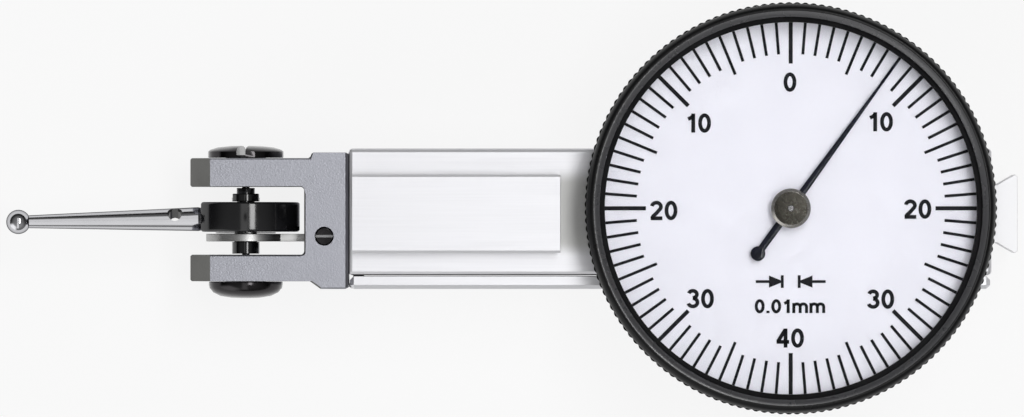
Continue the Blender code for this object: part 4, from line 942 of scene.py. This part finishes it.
def aim(obj, target):
    """Turn a lamp towards a point, with its long side along the dial's upright."""
    back = (obj.location - Vector(target)).normalized()
    across = Vector((0, 1, 0)).cross(back).normalized()
    obj.rotation_euler = Matrix((across, back.cross(across), back)).transposed().to_euler()


class INDICATOR_OT_stage(Operator):
    """Lay the floor, light the sky, hang the lamp and set the camera"""

    bl_idname = "indicator.stage"
    bl_label = "Stage"

    def execute(self, context):
        scene, stage = context.scene, context.scene.indicator_stage
        scene.view_settings.view_transform = "Standard"
        world = bpy.data.worlds.new("studio")
        world.use_nodes = True
        light_sky(world.node_tree, stage)
        scene.world = world
        points = np.array([(-1, -1, 0), (1, -1, 0), (1, 1, 0), (-1, 1, 0)]) * FLOOR_HALF + (0, 0, FLOOR_LEVEL)
        floor = mesh_object("floor", points, np.array([[0, 1, 2, 3]]))
        floor.data.materials.append(floor_material(stage.floor))
        lamp = bpy.data.lights.new("key", "AREA")
        lamp.shape, lamp.energy = "RECTANGLE", stage.key
        lamp.size, lamp.size_y = LAMP_SIZE
        holder = add_object("key", lamp)
        holder.location = LAMP_PLACE
        holder.visible_camera = False
        aim(holder, LAMP_TARGET)
        camera = bpy.data.cameras.new("camera")
        camera.sensor_width = SENSOR
        camera.lens = SENSOR * stage.distance / VIEW_WIDTH
        camera.clip_start, camera.clip_end = 0.01, 1000
        holder = add_object("camera", camera)
        holder.location = (*VIEW_MIDDLE, VIEW_PLANE + stage.distance)
        scene.camera = holder
        return {"FINISHED"}


def light_sky(tree, stage):
    """Soft light and a strip overhead with a gap straight up, dim sides, a light corner, and a pale horizon.

    Each part is a smooth step of the direction's X, Y or Z, and the strengths are their products and sums.
    """
    new, link = tree.nodes.new, tree.links.new
    place, parts = new("ShaderNodeTexCoord"), new("ShaderNodeSeparateXYZ")
    link(place.outputs["Generated"], parts.inputs[0])

    def step(axis, low, high, below, above):
        node = new("ShaderNodeMapRange")
        node.interpolation_type = "SMOOTHSTEP"
        for label, value in {"From Min": low, "From Max": high, "To Min": below, "To Max": above}.items():
            node.inputs[label].default_value = value
        link(parts.outputs[axis], node.inputs["Value"])
        return node.outputs["Result"]

    def times(first, second):
        return combine(tree, "MULTIPLY", first, second)

    def between(axis, rise, fall, strength=1):
        return times(step(axis, *rise, 0, strength), step(axis, *fall, 1, 0))

    overhead = step("Z", stage.edge_low, stage.edge_high, 0, stage.sky)
    strip = times(between("X", (-0.2, -0.14), (0.06, 0.11), stage.strip),
                  between("Y", (-0.95, -0.85), (0.55, 0.65)))
    strip = times(strip, step("Z", 0.0, 0.1, 0, 1))
    above = times(combine(tree, "ADD", overhead, strip), step("Z", 0.9972, 0.999, 1, 0.02))
    corner = times(times(step("Y", -0.5, -0.1, 1.2, 0), step("X", -0.5, -0.1, 1, 0)), step("Z", 0.5, 0.75, 1, 0))
    sides = combine(tree, "ADD", step("Y", -0.8, 0.15, stage.horizon, stage.horizon / 12), corner)
    backdrop = step("Z", 0.03, 0.12, 0.8, 0.0)
    total = combine(tree, "ADD", combine(tree, "MAXIMUM", sides, backdrop), above)
    link(total, tree.nodes["Background"].inputs["Strength"])
    tree.nodes["Background"].inputs["Color"].default_value = (1, 1, 1, 1)


def floor_material(colour):
    """A pale floor that a camera, a mirror and a window see a little whiter than the light makes it."""
    material, tree, _ = new_material("floor", colour, {"Roughness": 0.9, "Specular IOR Level": 0.1})
    path = tree.nodes.new("ShaderNodeLightPath").outputs
    seen = combine(tree, "MAXIMUM", path["Is Camera Ray"], path["Is Glossy Ray"])
    seen = combine(tree, "MAXIMUM", seen, path["Is Transmission Ray"])
    mix_in(tree, "ShaderNodeEmission", combine(tree, "MULTIPLY", seen, FLOOR_GLOW))
    return material


class INDICATOR_PT_pieces(Panel):
    """The indicator's pieces in the sidebar"""

    bl_label = "Dial test indicator"
    bl_space_type = "VIEW_3D"
    bl_region_type = "UI"
    bl_category = "Indicator"

    def draw(self, context):
        for operator in OPERATORS:
            self.layout.operator(operator.bl_idname)
        for settings in (context.scene.indicator_colours, context.scene.indicator_dial,
                         context.scene.indicator_stage):
            for name in settings.__annotations__:
                self.layout.prop(settings, name)


SETTINGS = {"indicator_colours": IndicatorColours, "indicator_dial": IndicatorDial,
            "indicator_stage": IndicatorStage}
OPERATORS = (INDICATOR_OT_finishes, INDICATOR_OT_housing, INDICATOR_OT_pivot, INDICATOR_OT_stylus,
             INDICATOR_OT_bezel, INDICATOR_OT_dial, INDICATOR_OT_pointer, INDICATOR_OT_stage)


def register():
    """Add the classes and the settings to Blender."""
    for kind in (*SETTINGS.values(), *OPERATORS, INDICATOR_PT_pieces):
        bpy.utils.register_class(kind)
    for name, kind in SETTINGS.items():
        setattr(bpy.types.Scene, name, PointerProperty(type=kind))


def unregister():
    """Take them out again."""
    for name in SETTINGS:
        delattr(bpy.types.Scene, name)
    for kind in reversed((*SETTINGS.values(), *OPERATORS, INDICATOR_PT_pieces)):
        bpy.utils.unregister_class(kind)


def main():
    """Build the whole scene in order."""
    register()
    for operator in OPERATORS:
        group, name = operator.bl_idname.split(".")
        getattr(getattr(bpy.ops, group), name)()


if __name__ == "__main__":
    main()
